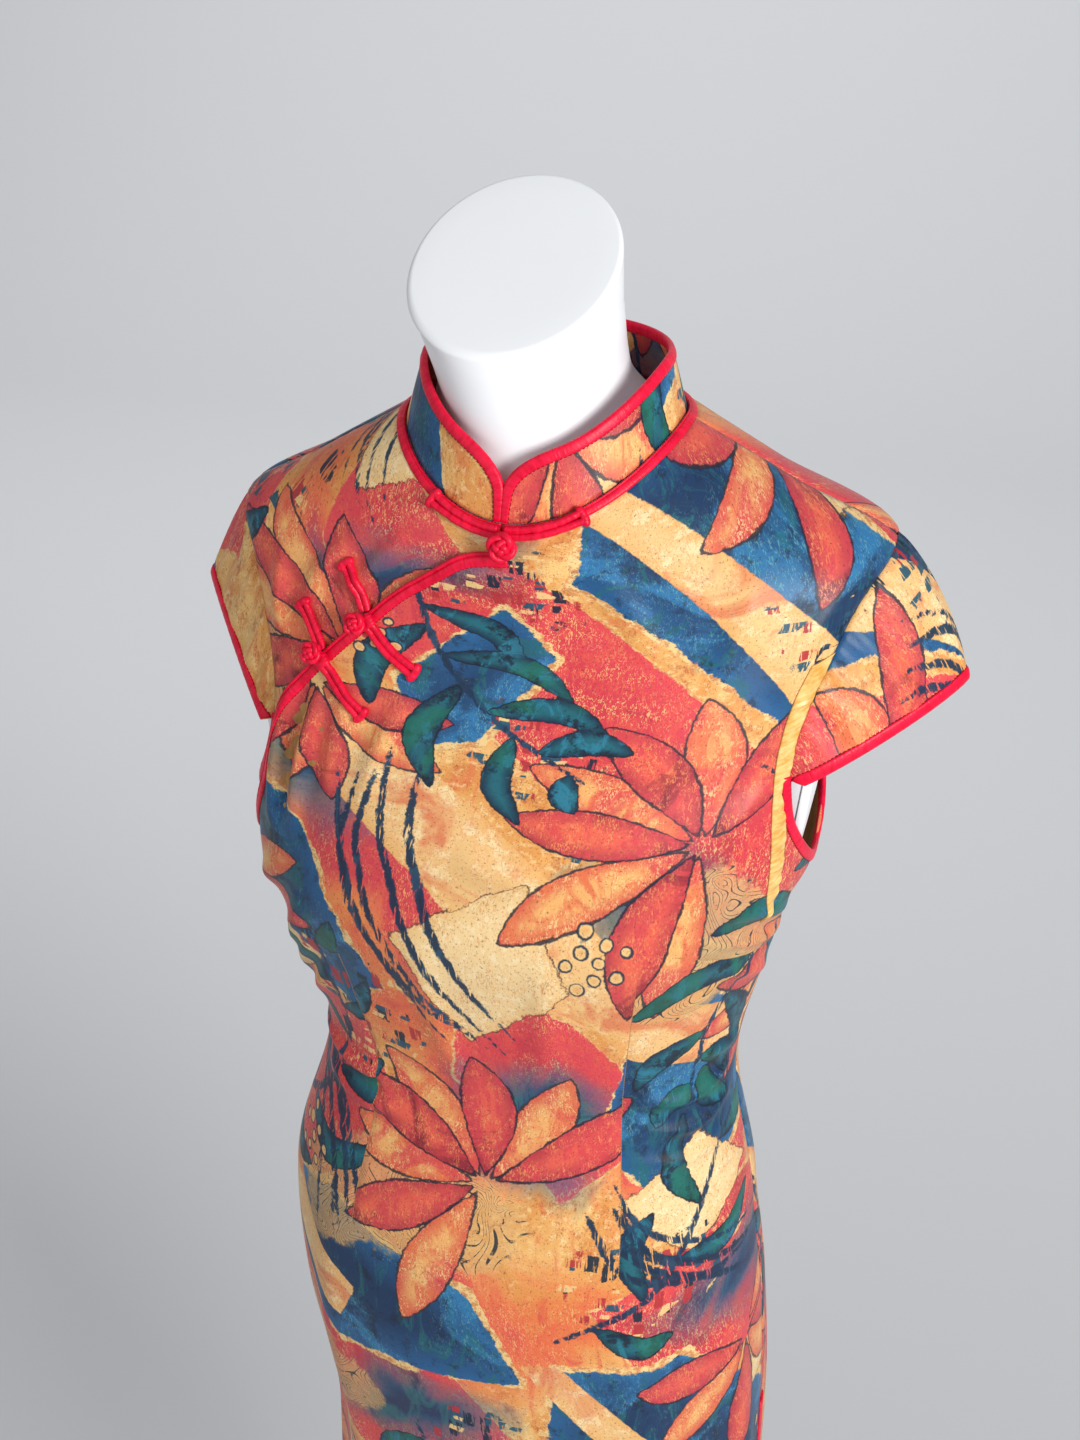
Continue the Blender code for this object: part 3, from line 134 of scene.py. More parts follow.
# Edges that cross the panels as (level, share), share being the place across, 1 at the side seam.
ARMHOLE = ((.688, 1), (.6888, .965), (.692, .915), (.699, .855), (.708, .796), (.7185, .744), (.7315, .699),
    (.748, .673), (.762, .662), (.785, .664), (.8075, .688), (.8275, .721), (.847, .758), (.862, .8), (.8735, .86),
    (.88, .93), (.8825, 1))
FLAP_EDGE = ((.6456, 1), (.66, .912), (.676, .82), (.692, .75), (.707, .702), (.722, .668), (.744, .645),
    (.7655, .618), (.78, .592), (.796, .554), (.81, .516), (.8235, .478), (.835, .447), (.847, .414), (.8635, .37),
    (.876, .338), (.8895, .303), (.9025, .265), (.915, .225), (.926, .184), (.9335, .138), (.937, .094), (.939, .052),
    (.952, .048))


# ---- curves
def smooth_through(stations: Sequence[float], values: Sequence[float], query: Array) -> Array:
    """A monotone cubic through points, which never swings past them.

    Args:
        stations: where the values are given, rising.
        values: the value at each.
        query: where the curve is wanted.

    Returns:
        The curve's values.
    """
    stations, values = np.asarray(stations, float), np.asarray(values, float)
    step = np.diff(stations)
    slope = np.diff(values) / step
    tangent = np.zeros_like(values)
    tangent[0], tangent[-1] = slope[0], slope[-1]
    for i in range(1, len(stations) - 1):
        if slope[i - 1] * slope[i] > 0:
            before, after = 2 * step[i] + step[i - 1], step[i] + 2 * step[i - 1]
            tangent[i] = (before + after) / (before / slope[i - 1] + after / slope[i])
    i = np.clip(np.searchsorted(stations, query) - 1, 0, len(stations) - 2)
    s = (query - stations[i]) / step[i]
    return ((2 * s**3 - 3 * s**2 + 1) * values[i] + (s**3 - 2 * s**2 + s) * step[i] * tangent[i]
        + (3 * s**2 - 2 * s**3) * values[i + 1] + (s**3 - s**2) * step[i] * tangent[i + 1])


def flowing(points: Array, dense: int = 12) -> Array:
    """A Catmull-Rom curve through points of any dimension.

    Args:
        points: the points.
        dense: how many steps it takes between two.

    Returns:
        The curve's points.
    """
    p = np.asarray(points, float)
    p = np.concatenate([[2 * p[0] - p[1]], p, [2 * p[-1] - p[-2]]])
    knots = np.concatenate([[0], np.cumsum(np.linalg.norm(np.diff(p, axis=0), axis=1) ** .5 + 1e-9)])
    out = []
    for i in range(1, len(p) - 2):
        at = np.linspace(knots[i], knots[i + 1], dense, endpoint=False)[:, None]
        blend = list(p[i - 1:i + 3])
        for spans in (((-1, 0), (0, 1), (1, 2)), ((-1, 1), (0, 2)), ((0, 1),)):
            blend = [((knots[i + b] - at) * blend[k] + (at - knots[i + a]) * blend[k + 1])
                / (knots[i + b] - knots[i + a]) for k, (a, b) in enumerate(spans)]
        out.append(blend[0])
    return np.concatenate([*out, p[-2:-1]])


def gone(line: Array) -> Array:
    """How far along a line each of its points is."""
    return np.concatenate([[0], np.cumsum(np.linalg.norm(np.diff(line, axis=0), axis=1))])


def evenly(points: Array, spacing: float, measure: Array | None = None) -> Array:
    """Spaces a line's points evenly.

    Args:
        points: the line.
        spacing: the distance wanted.
        measure: the same line in space, if points isn't.

    Returns:
        The line, its two ends kept.
    """
    along = gone(points if measure is None else measure)
    want = np.linspace(0, along[-1], max(2, round(along[-1] / spacing) + 1))
    return np.stack([np.interp(want, along, column) for column in points.T], 1)


def unit(vectors: Array) -> Array:
    """Vectors scaled to length one."""
    return vectors / np.maximum(np.linalg.norm(vectors, axis=-1, keepdims=True), 1e-12)


def relax(line: Array, times: int, middle: float = 2, vectors: bool = False) -> Array:
    """Smooths a line in place, its two ends kept.

    Args:
        line: points, or directions.
        times: how often.
        middle: how much a point weighs against one neighbour.
        vectors: whether each is scaled to length one again.

    Returns:
        The same line.
    """
    for _ in range(times):
        drawn = (line[:-2] + middle * line[1:-1] + line[2:]) / (2 + middle)
        line[1:-1] = unit(drawn) if vectors else drawn
    return line


def ease(x: Array) -> Array:
    """A smooth step from 0 to 1 as x goes from 0 to 1."""
    x = np.clip(x, 0, 1)
    return x * x * (3 - 2 * x)


def rounded(x: Array, power: float) -> Array:
    """A cosine or sine raised to a power, its sign kept, which squares an oval or draws it in."""
    return np.sign(x) * np.abs(x) ** power


def nearest_on(line: Array, points: Array) -> tuple[Array, Array]:
    """How far points are from a line.

    Args:
        line: the line's points.
        points: the places.

    Returns:
        Each place's distance, and how far along the line its nearest point is, from 0 to 1.
    """
    best, where = np.full(len(points), np.inf), np.zeros(len(points))
    start = gone(line)
    for i, (a, b) in enumerate(zip(line[:-1], line[1:])):
        run = b - a
        share = np.clip(((points - a) @ run) / max(run @ run, 1e-14), 0, 1)
        away = np.linalg.norm(points - a - share[:, None] * run, axis=1)
        closer = away < best
        best[closer] = away[closer]
        where[closer] = (start[i] + share[closer] * np.linalg.norm(run)) / start[-1]
    return best, where


def inside(outline: Array, points: Array) -> Array:
    """Which points lie inside a closed outline.

    Args:
        outline: its corners.
        points: the places.

    Returns:
        True for each place inside.
    """
    x, y = points.T
    result = np.zeros(len(points), bool)
    for (ax, ay), (bx, by) in zip(outline, np.roll(outline, -1, axis=0)):
        if ay != by:
            result ^= ((ay > y) != (by > y)) & (x < (bx - ax) * (y - ay) / (by - ay) + ax)
    return result


def ripple(place: Array, pitch: float, seed: int) -> Array:
    """An uneven wave along a seam, between -1 and 1.

    Args:
        place: where along the seam.
        pitch: about one wave.
        seed: which of many such waves.

    Returns:
        The wave.
    """
    rng = np.random.default_rng(seed)
    wave = np.zeros_like(place, dtype=float)
    for weight, stretch in ((.5, 1.0), (.3, .61), (.2, 1.7)):
        wave += weight * np.sin(TURN * (place / (pitch * stretch) + rng.random()) + 1.3
            * np.sin(TURN * (place / (pitch * 4.3) + rng.random())))
    return wave


# ---- the figure
def ring_point(rings: Sequence[Ring], angle: Array, level: float) -> Array:
    """Points on one level of the figure.

    Args:
        rings: the figure's rings, from the lowest.
        angle: 0 at the wearer's left, -90 degrees at the front.
        level: the level.

    Returns:
        The points in space.
    """
    stations = [ring.level for ring in rings]
    size = {name: smooth_through(stations, [getattr(ring, name) for ring in rings], np.full_like(angle, level))
        for name in Ring.__dataclass_fields__ if name != "level"}
    c, s = np.cos(angle), np.sin(angle)
    power = 2 / size["square"]
    depth = np.where(s < 0, size["front"], size["back"])
    rise = np.where(s < 0, size["rise_front"], size["rise_back"])
    reach = size["half_width"] * rounded(c, power)
    return np.stack([size["x"] + reach, size["y"] + depth * rounded(s, power),
        size["z"] + rise * s**2 + size["lean"] * reach], -1)


class Figure:
    """The surface that the dress lies on, with each half unrolled flat from its centre line."""

    LEVEL_STEPS, ACROSS_STEPS, AROUND = 390, 120, 721

    def __init__(self, rings: Sequence[Ring]) -> None:
        """Lays both halves out flat, ring by ring.

        Args:
            rings: the figure's rings, hem to neck.
        """
        self.top = rings[-1].level
        self.levels = np.linspace(0, self.top, self.LEVEL_STEPS + 1)
        shares = np.linspace(-1, 1, 2 * self.ACROSS_STEPS + 1)
        self.points: dict[Side, Array] = {}
        self.normals: dict[Side, Array] = {}
        self.reach: dict[Side, Array] = {}
        for side in (FRONT, BACK):
            angle = np.linspace(side * HALF_TURN, 0, self.AROUND)
            grid = np.zeros((len(self.levels), len(shares), 3))
            self.reach[side] = np.zeros(len(self.levels))
            for row, level in enumerate(self.levels):
                ring = ring_point(rings, angle, level)
                along = gone(ring)
                self.reach[side][row] = along[-1] / 2
                for k in range(3):
                    grid[row, :, k] = np.interp(shares, along / along[-1] * 2 - 1, ring[:, k])
            up, across = np.gradient(grid, axis=0), np.gradient(grid, axis=1)
            self.points[side], self.normals[side] = grid, unit(np.cross(up, across) * side)

    def half(self, side: Side, level: Array) -> Array:
        """How far the side seam is from the centre line, along the cloth, at a level."""
        return np.interp(level, self.levels, self.reach[side])

    def _look_up(self, grid: Array, side: Side, path: Array) -> Array:
        """Values of a grid between its points.

        Args:
            grid: the grid, by level and share.
            side: FRONT or BACK.
            path: where they are wanted.

        Returns:
            The value at each place.
        """
        share = path[:, 0] / self.half(side, path[:, 1])
        row = np.clip(path[:, 1] / self.top * self.LEVEL_STEPS, 0, self.LEVEL_STEPS - 1e-6)
        col = np.clip((share + 1) * self.ACROSS_STEPS, 0, 2 * self.ACROSS_STEPS - 1e-6)
        r, c = row.astype(int), col.astype(int)
        fr, fc = (row - r)[..., None], (col - c)[..., None]
        return ((1 - fr) * ((1 - fc) * grid[r, c] + fc * grid[r, c + 1]) + fr
            * ((1 - fc) * grid[r + 1, c] + fc * grid[r + 1, c + 1]))

    def normal(self, side: Side, path: Array) -> Array:
        """The way out of the figure at places on it."""
        return unit(self._look_up(self.normals[side], side, path))

    def at(self, side: Side, path: Array, lift: Array | float = 0.0) -> Array:
        """Points in space.

        Args:
            side: FRONT or BACK.
            path: where they lie.
            lift: how far each is moved out of the figure.

        Returns:
            The points.
        """
        path = np.asarray(path, float)
        lift = np.broadcast_to(lift, len(path))[:, None]
        return self._look_up(self.points[side], side, path) + self.normal(side, path) * lift

    def aside(self, side: Side, path: Array, distance: float) -> Array:
        """Moves a path over the cloth.

        Args:
            side: FRONT or BACK.
            path: the path.
            distance: how far, to the right of its direction.

        Returns:
            The moved path.
        """
        steps = max(1, math.ceil(abs(distance) / .006))
        reach = .001
        for _ in range(steps):
            place = self.at(side, path)
            by_across = (self.at(side, path + (reach, 0)) - place) / reach
            by_level = (self.at(side, path - (0, reach)) - place) / -reach
            tangent = np.gradient(path, axis=0)
            run = unit(by_across * tangent[:, :1] + by_level * tangent[:, 1:])
            right = np.cross(run, unit(np.cross(by_across, by_level)))
            moved = [np.linalg.lstsq(np.stack([u, v], 1), w, rcond=None)[0] for u, v,
                w in zip(by_across, by_level, right)]
            path = path + np.array(moved) * (distance / steps)
        return path

    def below_neck(self, side: Side, share: float, distance: float) -> float:
        """The level that lies so far down the cloth from the collar's foot."""
        line = self.points[side][::-1, int(round((share + 1) * self.ACROSS_STEPS))]
        return float(np.interp(distance, gone(line), self.levels[::-1]))

    def place(self, side: Side, share: float, level: float) -> Pair:
        """A place as (across, level), from its share."""
        return share * float(self.half(side, level)), level

    def spaced(self, side: Side, path: Array, spacing: float) -> Array:
        """A path with points evenly spaced over the cloth."""
        return evenly(np.asarray(path, float), spacing, self.at(side, path))

    def edge(self, side: Side, rows: Sequence[Pair], sign: int) -> Array:
        """An edge that crosses a panel; the back's is cut in less deep.

        Args:
            side: FRONT or BACK.
            rows: the edge as (level, share).
            sign: 1 on the wearer's left, -1 on the right.

        Returns:
            The edge as a smooth path.
        """
        depth = BACK_ARMHOLE_DEPTH if side == BACK else 1.0
        path = []
        for level, share in rows:
            half = float(self.half(side, level))
            path.append((sign * min((1 - depth * (1 - share)) * half, half - SEAM / 2), level))
        return flowing(np.array(path))


# ---- finishes
TINT = {"data_type": "RGBA"}
TIMES, SCALE_AND_ADD = {"operation": "MULTIPLY"}, {"operation": "MULTIPLY_ADD"}
LESS, SIZE_OF = {"operation": "SUBTRACT"}, {"operation": "ABSOLUTE"}


def linear(code: str) -> tuple[float, ...]:
    """An sRGB hex colour as linear RGBA."""
    parts = [int(code[i:i + 2], 16) / 255 for i in (1, 3, 5)]
    return (*(p / 12.92 if p <= .04045 else ((p + .055) / 1.055) ** 2.4 for p in parts), 1.0)


def put(tree: Tree, kind: str | Node, *values: object, **named: object) -> Node:
    """Adds one node, or fills in one that is already there.

    Args:
        tree: its tree.
        kind: its type without the leading word, or the node.
        values: what its sockets get in their order: a value, a hex colour, a socket, or a node for its output.
        named: settings in small letters, and sockets by name with a capital and _ for a space.

    Returns:
        The node.
    """
    node = kind
    if isinstance(kind, str):
        prefix = "GeometryNode" if tree.bl_idname == "GeometryNodeTree" else "ShaderNode"
        node = tree.nodes.new(kind if kind[:4] in ("Func", "Node", "Shad") else prefix + kind)
    for name, value in named.items():
        if name.islower():
            setattr(node, name, value)
    pairs = list(zip([socket for socket in node.inputs if socket.enabled], values))
    pairs += [(node.inputs[name.replace("_", " ")], value) for name, value in named.items() if not name.islower()]
    for socket, value in pairs:
        if isinstance(value, Node):
            value = next(output for output in value.outputs if output.enabled)
        if isinstance(value, bpy.types.NodeSocket):
            tree.links.new(value, socket)
        else:
            hexed = isinstance(value, str) and value.startswith("#")
            socket.default_value = linear(value) if hexed else value
    return node


class Finish:
    """A finish that makes its material once and hands out the same one after that."""

    title = "finish"

    def material(self) -> bpy.types.Material:
        """Hands out the finish's material, made on first use.

        Returns:
            The material.
        """
        made = bpy.data.materials.get(self.title)
        if not made:
            made = bpy.data.materials.new(self.title)
            made.use_nodes = True
            self.dress(partial(put, made.node_tree), made.node_tree.nodes["Principled BSDF"])
        return made

    def dress(self, add: Callable[..., Node], shader: Node) -> None:
        """Fills the shader in, with nodes that add puts into its tree."""
        raise NotImplementedError


# The inks of the print, in the order in which its attributes hold them.
Ink = IntEnum("Ink", "CORAL CORAL_HAZE BLUE BLUE_HAZE BAND PALE SCROLL BLOCK PETAL PETAL_DEEP LEAF STROKE ORANGE "
              "BEAD", start=0)
Mottle = tuple      # another colour of an ink, the grain that it shows in, between which values, how strongly, and
#                     a second grain that it keeps to


@dataclass(frozen=True)
class Layer:
    """How one ink is printed.

    Lengths are in metres. The edge fades over soft and is torn by rough, where the grain named by pushes it about.
    The colour runs from edge to core over depth. A rim is bare paper along the torn edge; a line is drawn along
    the edge, so far in. gate names a grain that the ink only shows above gate_at.
    """

    ink: Ink
    edge: str
    core: str
    depth: float = .012
    soft: float = .0012
    rough: float = .004
    by: str = "torn"
    opacity: float = 1.0
    mottles: tuple[Mottle, ...] = ()
    rim: str = ""
    rim_width: float = .0016
    line: str = ""
    line_half: float = .0009
    line_in: float = 0.0
    gate: str = ""
    gate_at: float = .5


GRAINS = {      # scale a metre, detail, roughness, distortion, stretch and turn
    "speck": (640, 2, .7, 0, (1, 1), 0),
    "fleck": (900, 1, .5, 1.3, (1, .34), .9),
    "grain": (170, 5, .72, 0, (1, 1), 0),
    "torn": (62, 7, .74, 0, (1, 1), 0),
    "cloud": (17, 5, .62, .8, (1, 1), 0),
    "wisp": (34, 6, .7, 2.2, (1, .45), .7),
    "brush": (60, 3, .6, .3, (6, .8), .5),
}
LAYERS = (Layer(Ink.ORANGE, "#EBA04C", "#E8743C", .03, .03, .04, "cloud", .92, (("#DE5A48", "wisp", .52, .66, .8),
    ("#F3C887", "fleck", .54, .64, .8, "torn"))), Layer(Ink.CORAL_HAZE, "#EE8450", "#DD3F5A", .026, .034, .03, "cloud",
    .96, (("#EC7A4E", "fleck", .53, .62, .8, "torn"), ("#F3CB8C", "fleck", .6, .66, .8, "cloud"))),
    Layer(Ink.CORAL, "#E54A5C", "#D93351", .034, .0012, .004, "torn", 1, (("#EB7A4C", "fleck", .5, .6, .9, "torn"),
    ("#E65A50", "wisp", .48, .6, .7), ("#F5D296", "fleck", .58, .63, .9, "cloud"), ("#BE2348", "cloud", .56, .72, .6)),
    rim="#F0CE92", rim_width=.0012), Layer(Ink.BLUE_HAZE, "#2C86A4", "#17527A", .022, .03, .026, "cloud", .95,
    (("#2B8C90", "wisp", .5, .62, .7), ("#123E60", "cloud", .54, .66, .6))), Layer(Ink.BLUE, "#1F78A8", "#184F78",
    .034, .0012, .0045, "torn", 1, (("#1F8088", "wisp", .52, .62, .75), ("#3096C4", "cloud", .52, .64, .7),
    ("#10304C", "torn", .54, .66, .6), ("#8FC0C0", "fleck", .62, .66, .5, "cloud")), rim="#F0D49C", rim_width=.0026),
    Layer(Ink.BAND, "#EDC07C", "#F0CC92", .01, .0008, .0012, "grain", 1,
    (("#E38B52", "fleck", .5, .6, .75, "torn"), ("#F8E4B8", "torn", .5, .62, .8), ("#E07A4A", "cloud", .54, .66, .7))),
    Layer(Ink.PALE, "#EFCE96", "#F4DAAA", .01, .0012, .006, "torn", 1, (("#DD9E60", "fleck", .54, .62, .6, "torn"),
    ("#FAEAC6", "grain", .54, .62, .6)), line="#7A5A4A", line_half=.0004, line_in=-.0003),
    Layer(Ink.PETAL, "#DC5440", "#F2BC76", .011, .0014, .0018, "grain", .95, (("#E8804A", "wisp", .46, .6, .9),
    ("#DE4A50", "cloud", .53, .64, .85), ("#F8D89E", "fleck", .54, .6, .8, "torn")), line="#3C4453", line_half=.0008),
    Layer(Ink.PETAL_DEEP, "#BC2C50", "#EA6A50", .011, .0014, .0018, "grain", .95, (("#DC4054", "wisp", .46, .58, .8),
    ("#8E1C40", "cloud", .58, .68, .8), ("#F2A666", "fleck", .54, .6, .8, "torn")), line="#33384E", line_half=.0008),
    Layer(Ink.LEAF, "#14405E", "#1E7E8C", .006, .0008, .0016, "grain", 1, (("#2E98B0", "wisp", .53, .62, .7),
    ("#0E2E48", "torn", .54, .62, .8), ("#208C74", "cloud", .52, .6, .6)), line="#12324A", line_half=.0005),
    Layer(Ink.STROKE, "#1B4F70", "#163E5C", .003, .0008, .0024, "grain", .96, (("#2A6F8C", "wisp", .54, .62, .6),),
    gate="brush", gate_at=.36),
    Layer(Ink.BEAD, "#F2D7A2", "#E8B774", .003, .0006, .0006, "grain", 1, (), line="#1D4560", line_half=.0006))
GROUND = ("#E6AC5C", ("#F2CB88", "cloud", .42, .58), ("#D28640", "torn", .54, .68, .7),
    ("#E4804A", "wisp", .54, .68, .6), ("#F8E0AE", "grain", .54, .64, .6), ("#C06A3C", "fleck", .58, .64, .6, "torn"))
BLOCKS = (((0, 0, .1), (95, 62, 1), "#163F58", "#C22F3C"), ((0, 0, .22), (58, 120, 1), "#1E6E86", "#EFCF95"))


@dataclass(frozen=True)
class Press:
    """Prints one ink over another.

    add puts a node into the material, place is the cloth's map and grains are the noises by name. Each method
    takes the colour so far and returns it with more on it.
    """

    add: Callable[..., Node]
    place: Node
    grains: dict[str, Node]

    def mottled(self, ink: Node | str, colour: str, grain: str, low: float, high: float, strength: float = 1.0,
            where: str = "") -> Node:
        """Lays another colour over an ink where a grain shows it.

        Args:
            ink: the ink so far.
            colour: the other colour.
            grain: the grain.
            low, high: its values where the colour starts and is full.
            strength: how strong it is at most.
            where: a second grain that it keeps to.

        Returns:
            The mottled ink.
        """
        share = self.add("MapRange", self.grains[grain], low, high, 0, strength)
        if where:
            share = self.add("Math", share, self.add("MapRange", self.grains[where], .42, .6), **TIMES)
        return self.add("Mix", share, ink, colour, **TINT)

    def printed(self, layer: Layer, below: Node, depth: Node) -> Node:
        """Prints one ink.

        Args:
            layer: how it is printed.
            below: the colour so far.
            depth: how far inside its shapes each place is.

        Returns:
            The colour with the ink on it.
        """
        add, grains = self.add, self.grains
        depth = add("Math", depth, add("Math", grains[layer.by], 2 * layer.rough, -layer.rough, **SCALE_AND_ADD))
        ink = add("Mix", add("MapRange", depth, 0, layer.depth), layer.edge, layer.core, **TINT)
        for mottle in layer.mottles:
            ink = self.mottled(ink, *mottle)
        cover = add("MapRange", depth, -layer.soft / 2, layer.soft / 2, 0, layer.opacity)
        if layer.gate:
            gate = add("MapRange", grains[layer.gate], layer.gate_at, layer.gate_at + .06)
            cover = add("Math", cover, gate, **TIMES)
        colour = add("Mix", cover, below, ink, **TINT)
        if layer.rim:
            width = add("Math", grains["cloud"], 4.2 * layer.rim_width, -1.5 * layer.rim_width, **SCALE_AND_ADD)
            away = add("Math", add("Math", depth, **SIZE_OF), width, **LESS)
            torn = add("Mix", add("MapRange", grains["grain"], .46, .6, 0, .8), layer.rim, "#D28A4A", **TINT)
            colour = add("Mix", add("MapRange", away, .0004, -.0004), colour, torn, **TINT)
        if layer.line:
            away = add("Math", add("Math", depth, layer.line_in, **LESS), **SIZE_OF)
            half = add("Math", grains["torn"], 3.4 * layer.line_half, -.8 * layer.line_half, **SCALE_AND_ADD)
            inked = add("MapRange", add("Math", away, half, **LESS), .0003, -.0003, 0, layer.opacity * .92)
            colour = add("Mix", inked, colour, layer.line, **TINT)
        return colour

    def linework(self, below: Node, depth: Node) -> Node:
        """Draws flowing pen lines, as the contours of a slow swirl, on pale paper.

        Args:
            below: the colour so far.
            depth: how far inside the drawn part each place is.

        Returns:
            The colour with the lines on it.
        """
        add, grains = self.add, self.grains
        swirl = add("TexNoise", self.place, Scale=21, Detail=.6, Distortion=1.1, noise_dimensions="2D")
        wave = add("Math", add("Math", swirl, 74.0, **TIMES), operation="SINE")
        pen = add("MapRange", add("Math", wave, **SIZE_OF), .3, .16)
        within = add("MapRange", add("Math", grains["torn"], .03, depth, **SCALE_AND_ADD), .013, .018)
        pale = add("Mix", grains["grain"], "#D9A25E", "#F3D7A0", **TINT)
        colour = add("Mix", add("Math", within, .72, **TIMES), below, pale, **TINT)
        broken = add("MapRange", grains["grain"], .4, .47, 0, .9)
        return add("Mix", add("Math", add("Math", pen, within, **TIMES), broken, **TIMES), colour, "#2A4353", **TINT)

    def blocks(self, colour: Node, depth: Node) -> Node:
        """Scatters little torn blocks in four colours.

        Args:
            colour: the colour so far.
            depth: how far inside the scattered part each place is.

        Returns:
            The colour with the blocks on it.
        """
        add, grains = self.add, self.grains
        within = add("MapRange", add("Math", grains["torn"], .03, depth, **SCALE_AND_ADD), .014, .016)
        for turn, scale, first, second in BLOCKS:
            cells = add("TexVoronoi", add("Mapping", self.place, Rotation=turn, Scale=scale), Scale=1.0,
                Randomness=.85, voronoi_dimensions="2D", distance="CHEBYCHEV")
            tone = add("SeparateColor", cells.outputs["Color"])
            size = add("MapRange", tone, .3, 1.0, 0.0, .42)
            rough = add("Math", grains["grain"], .22, -.11, **SCALE_AND_ADD)
            away = add("Math", add("Math", cells.outputs["Distance"], rough), size, **LESS)
            ink = add("Mix", add("Math", tone.outputs[1], .62, operation="GREATER_THAN"), first, second, **TINT)
            shown = add("Math", add("MapRange", away, .02, -.02), within, **TIMES)
            worn = add("MapRange", grains["brush"], .4, .46, 0, .94)
            colour = add("Mix", add("Math", shown, worn, **TIMES), colour, ink, **TINT)
        return colour


@dataclass(frozen=True)
class PrintedSatin(Finish):
    """Polyester satin, digitally printed: matt colour with a soft sheen where it turns, and a fine close weave.

    The inks' shapes come with the cloth as attributes, in metres inside each shape's edge; the shader tears the
    edges, mottles each ink and lays drawn lines, little blocks, specks and scratches over them.
    """

    title: str = "printed_satin"
    roughness: float = .42
    richness: float = .95
    depth: float = 1.4
    weave_per_metre: float = 1300.0     # real satin has some 4 threads a mm; this is as coarse as it needs to show

    def dress(self, add: Callable[..., Node], shader: Node) -> None:
        """Builds the print, ink over ink.

        Args:
            add: puts a node into the tree.
            shader: the shader.
        """
        place = add("UVMap", uv_map="cloth")
        grains = {name: add("TexNoise", add("Mapping", place, Rotation=(0, 0, turn), Scale=(*stretch, 1)), Scale=scale,
            Detail=detail, Roughness=rough, Distortion=bent, noise_dimensions="2D") for name,
            (scale, detail, rough, bent, stretch, turn) in GRAINS.items()}
        depths = []
        for name in PrintDesign.ATTRIBUTES:
            held = add("Attribute", attribute_name=name)
            depths += [*add("SeparateColor", held.outputs["Color"]).outputs, held.outputs["Alpha"]]
        press = Press(add, place, grains)
        colour = GROUND[0]
        for mottle in GROUND[1:]:
            colour = press.mottled(colour, *mottle)
        for layer in LAYERS:
            if layer.ink == Ink.PETAL:      # the pen lines and blocks lie below the flowers
                colour = press.blocks(press.linework(colour, depths[Ink.SCROLL]), depths[Ink.BLOCK])
            colour = press.printed(layer, colour, depths[layer.ink])

        cells = add("TexVoronoi", place, Scale=130, voronoi_dimensions="2D", feature="DISTANCE_TO_EDGE")
        aged = add("MapRange", grains["torn"], .56, .66, 0, .3)
        crack = add("Math", add("MapRange", cells, .05, .015), aged, **TIMES)
        colour = add("Mix", crack, colour, "#74452B", **TINT)
        colour = add("Mix", add("MapRange", grains["speck"], .36, .3, 0, .5), colour, "#6B3A2A", **TINT)
        threads = add("TexWave", place, Scale=self.weave_per_metre * .444, Distortion=1.5, Detail=1, Detail_Scale=3,
            bands_direction="DIAGONAL").outputs["Fac"]
        # painted sheen: the weave's threads are lightened towards a warm cream
        shine = add("Mix", add("Math", threads, .03, **TIMES), colour, "#FFF0D8", **TINT)
        colour = add("HueSaturation", Saturation=self.richness, Color=add("Gamma", shine, self.depth))
        height = add("Math", threads, .25, grains["speck"], **SCALE_AND_ADD)
        add(shader, Base_Color=colour, Normal=add("Bump", Height=height, Strength=.2, Distance=.0004),
            Roughness=add("Math", grains["grain"], .16, self.roughness - .08, **SCALE_AND_ADD),
            Specular_IOR_Level=.28, Sheen_Weight=.02, Sheen_Roughness=.4)


@dataclass(frozen=True)
class PlainSatin(Finish):
    """Satin of one colour, cut on the bias: a deep ground lightened at random, small creases across it with painted
    sheen.

    chart names the piece's own map, along and across the strip in metres, or is empty for Object coordinates.
    """

    title: str = "crimson_satin"
    ground: str = "#D2002E"
    # bloom: a lighter colour laid on at random and, as painted sheen, along the creases
    bloom: str = "#F2143F"
    roughness: float = .4
    chart: str = "run"
    creases: float = .4

    def dress(self, add: Callable[..., Node], shader: Node) -> None:
        """Builds the colour's random drift, the creases with their painted sheen, and the threads.

        Args:
            add: puts a node into the tree.
            shader: the shader.
        """
        place = add("TexCoord").outputs["Object"]
        strip = add("UVMap", uv_map=self.chart) if self.chart else place
        drift = add("TexNoise", place, Scale=110, Detail=3, Roughness=.6)
        crease = add("TexNoise", add("Mapping", strip, Rotation=(0, 0, .35), Scale=(430, 110, 1)), Scale=1.0,
            Detail=2.5, Roughness=.55, Distortion=.5)
        threads = add("TexNoise", place, Scale=1500, Detail=1)
        # the lighter colour follows a random drift and, as painted sheen, the creases that the bump raises
        drift_and_crease_sheen = add("Math", drift, .5, add("Math", crease, .5, **TIMES), **SCALE_AND_ADD)
        fine = add("Bump", Height=threads, Strength=.2, Distance=.0004)
        add(shader, Base_Color=add("Mix", add("MapRange", drift_and_crease_sheen, .38, .62), self.ground, self.bloom, **TINT),
            Normal=add("Bump", Height=crease, Strength=self.creases, Distance=.0009, Normal=fine),
            Roughness=add("Math", threads, .14, self.roughness - .07, **SCALE_AND_ADD), Specular_IOR_Level=.26)


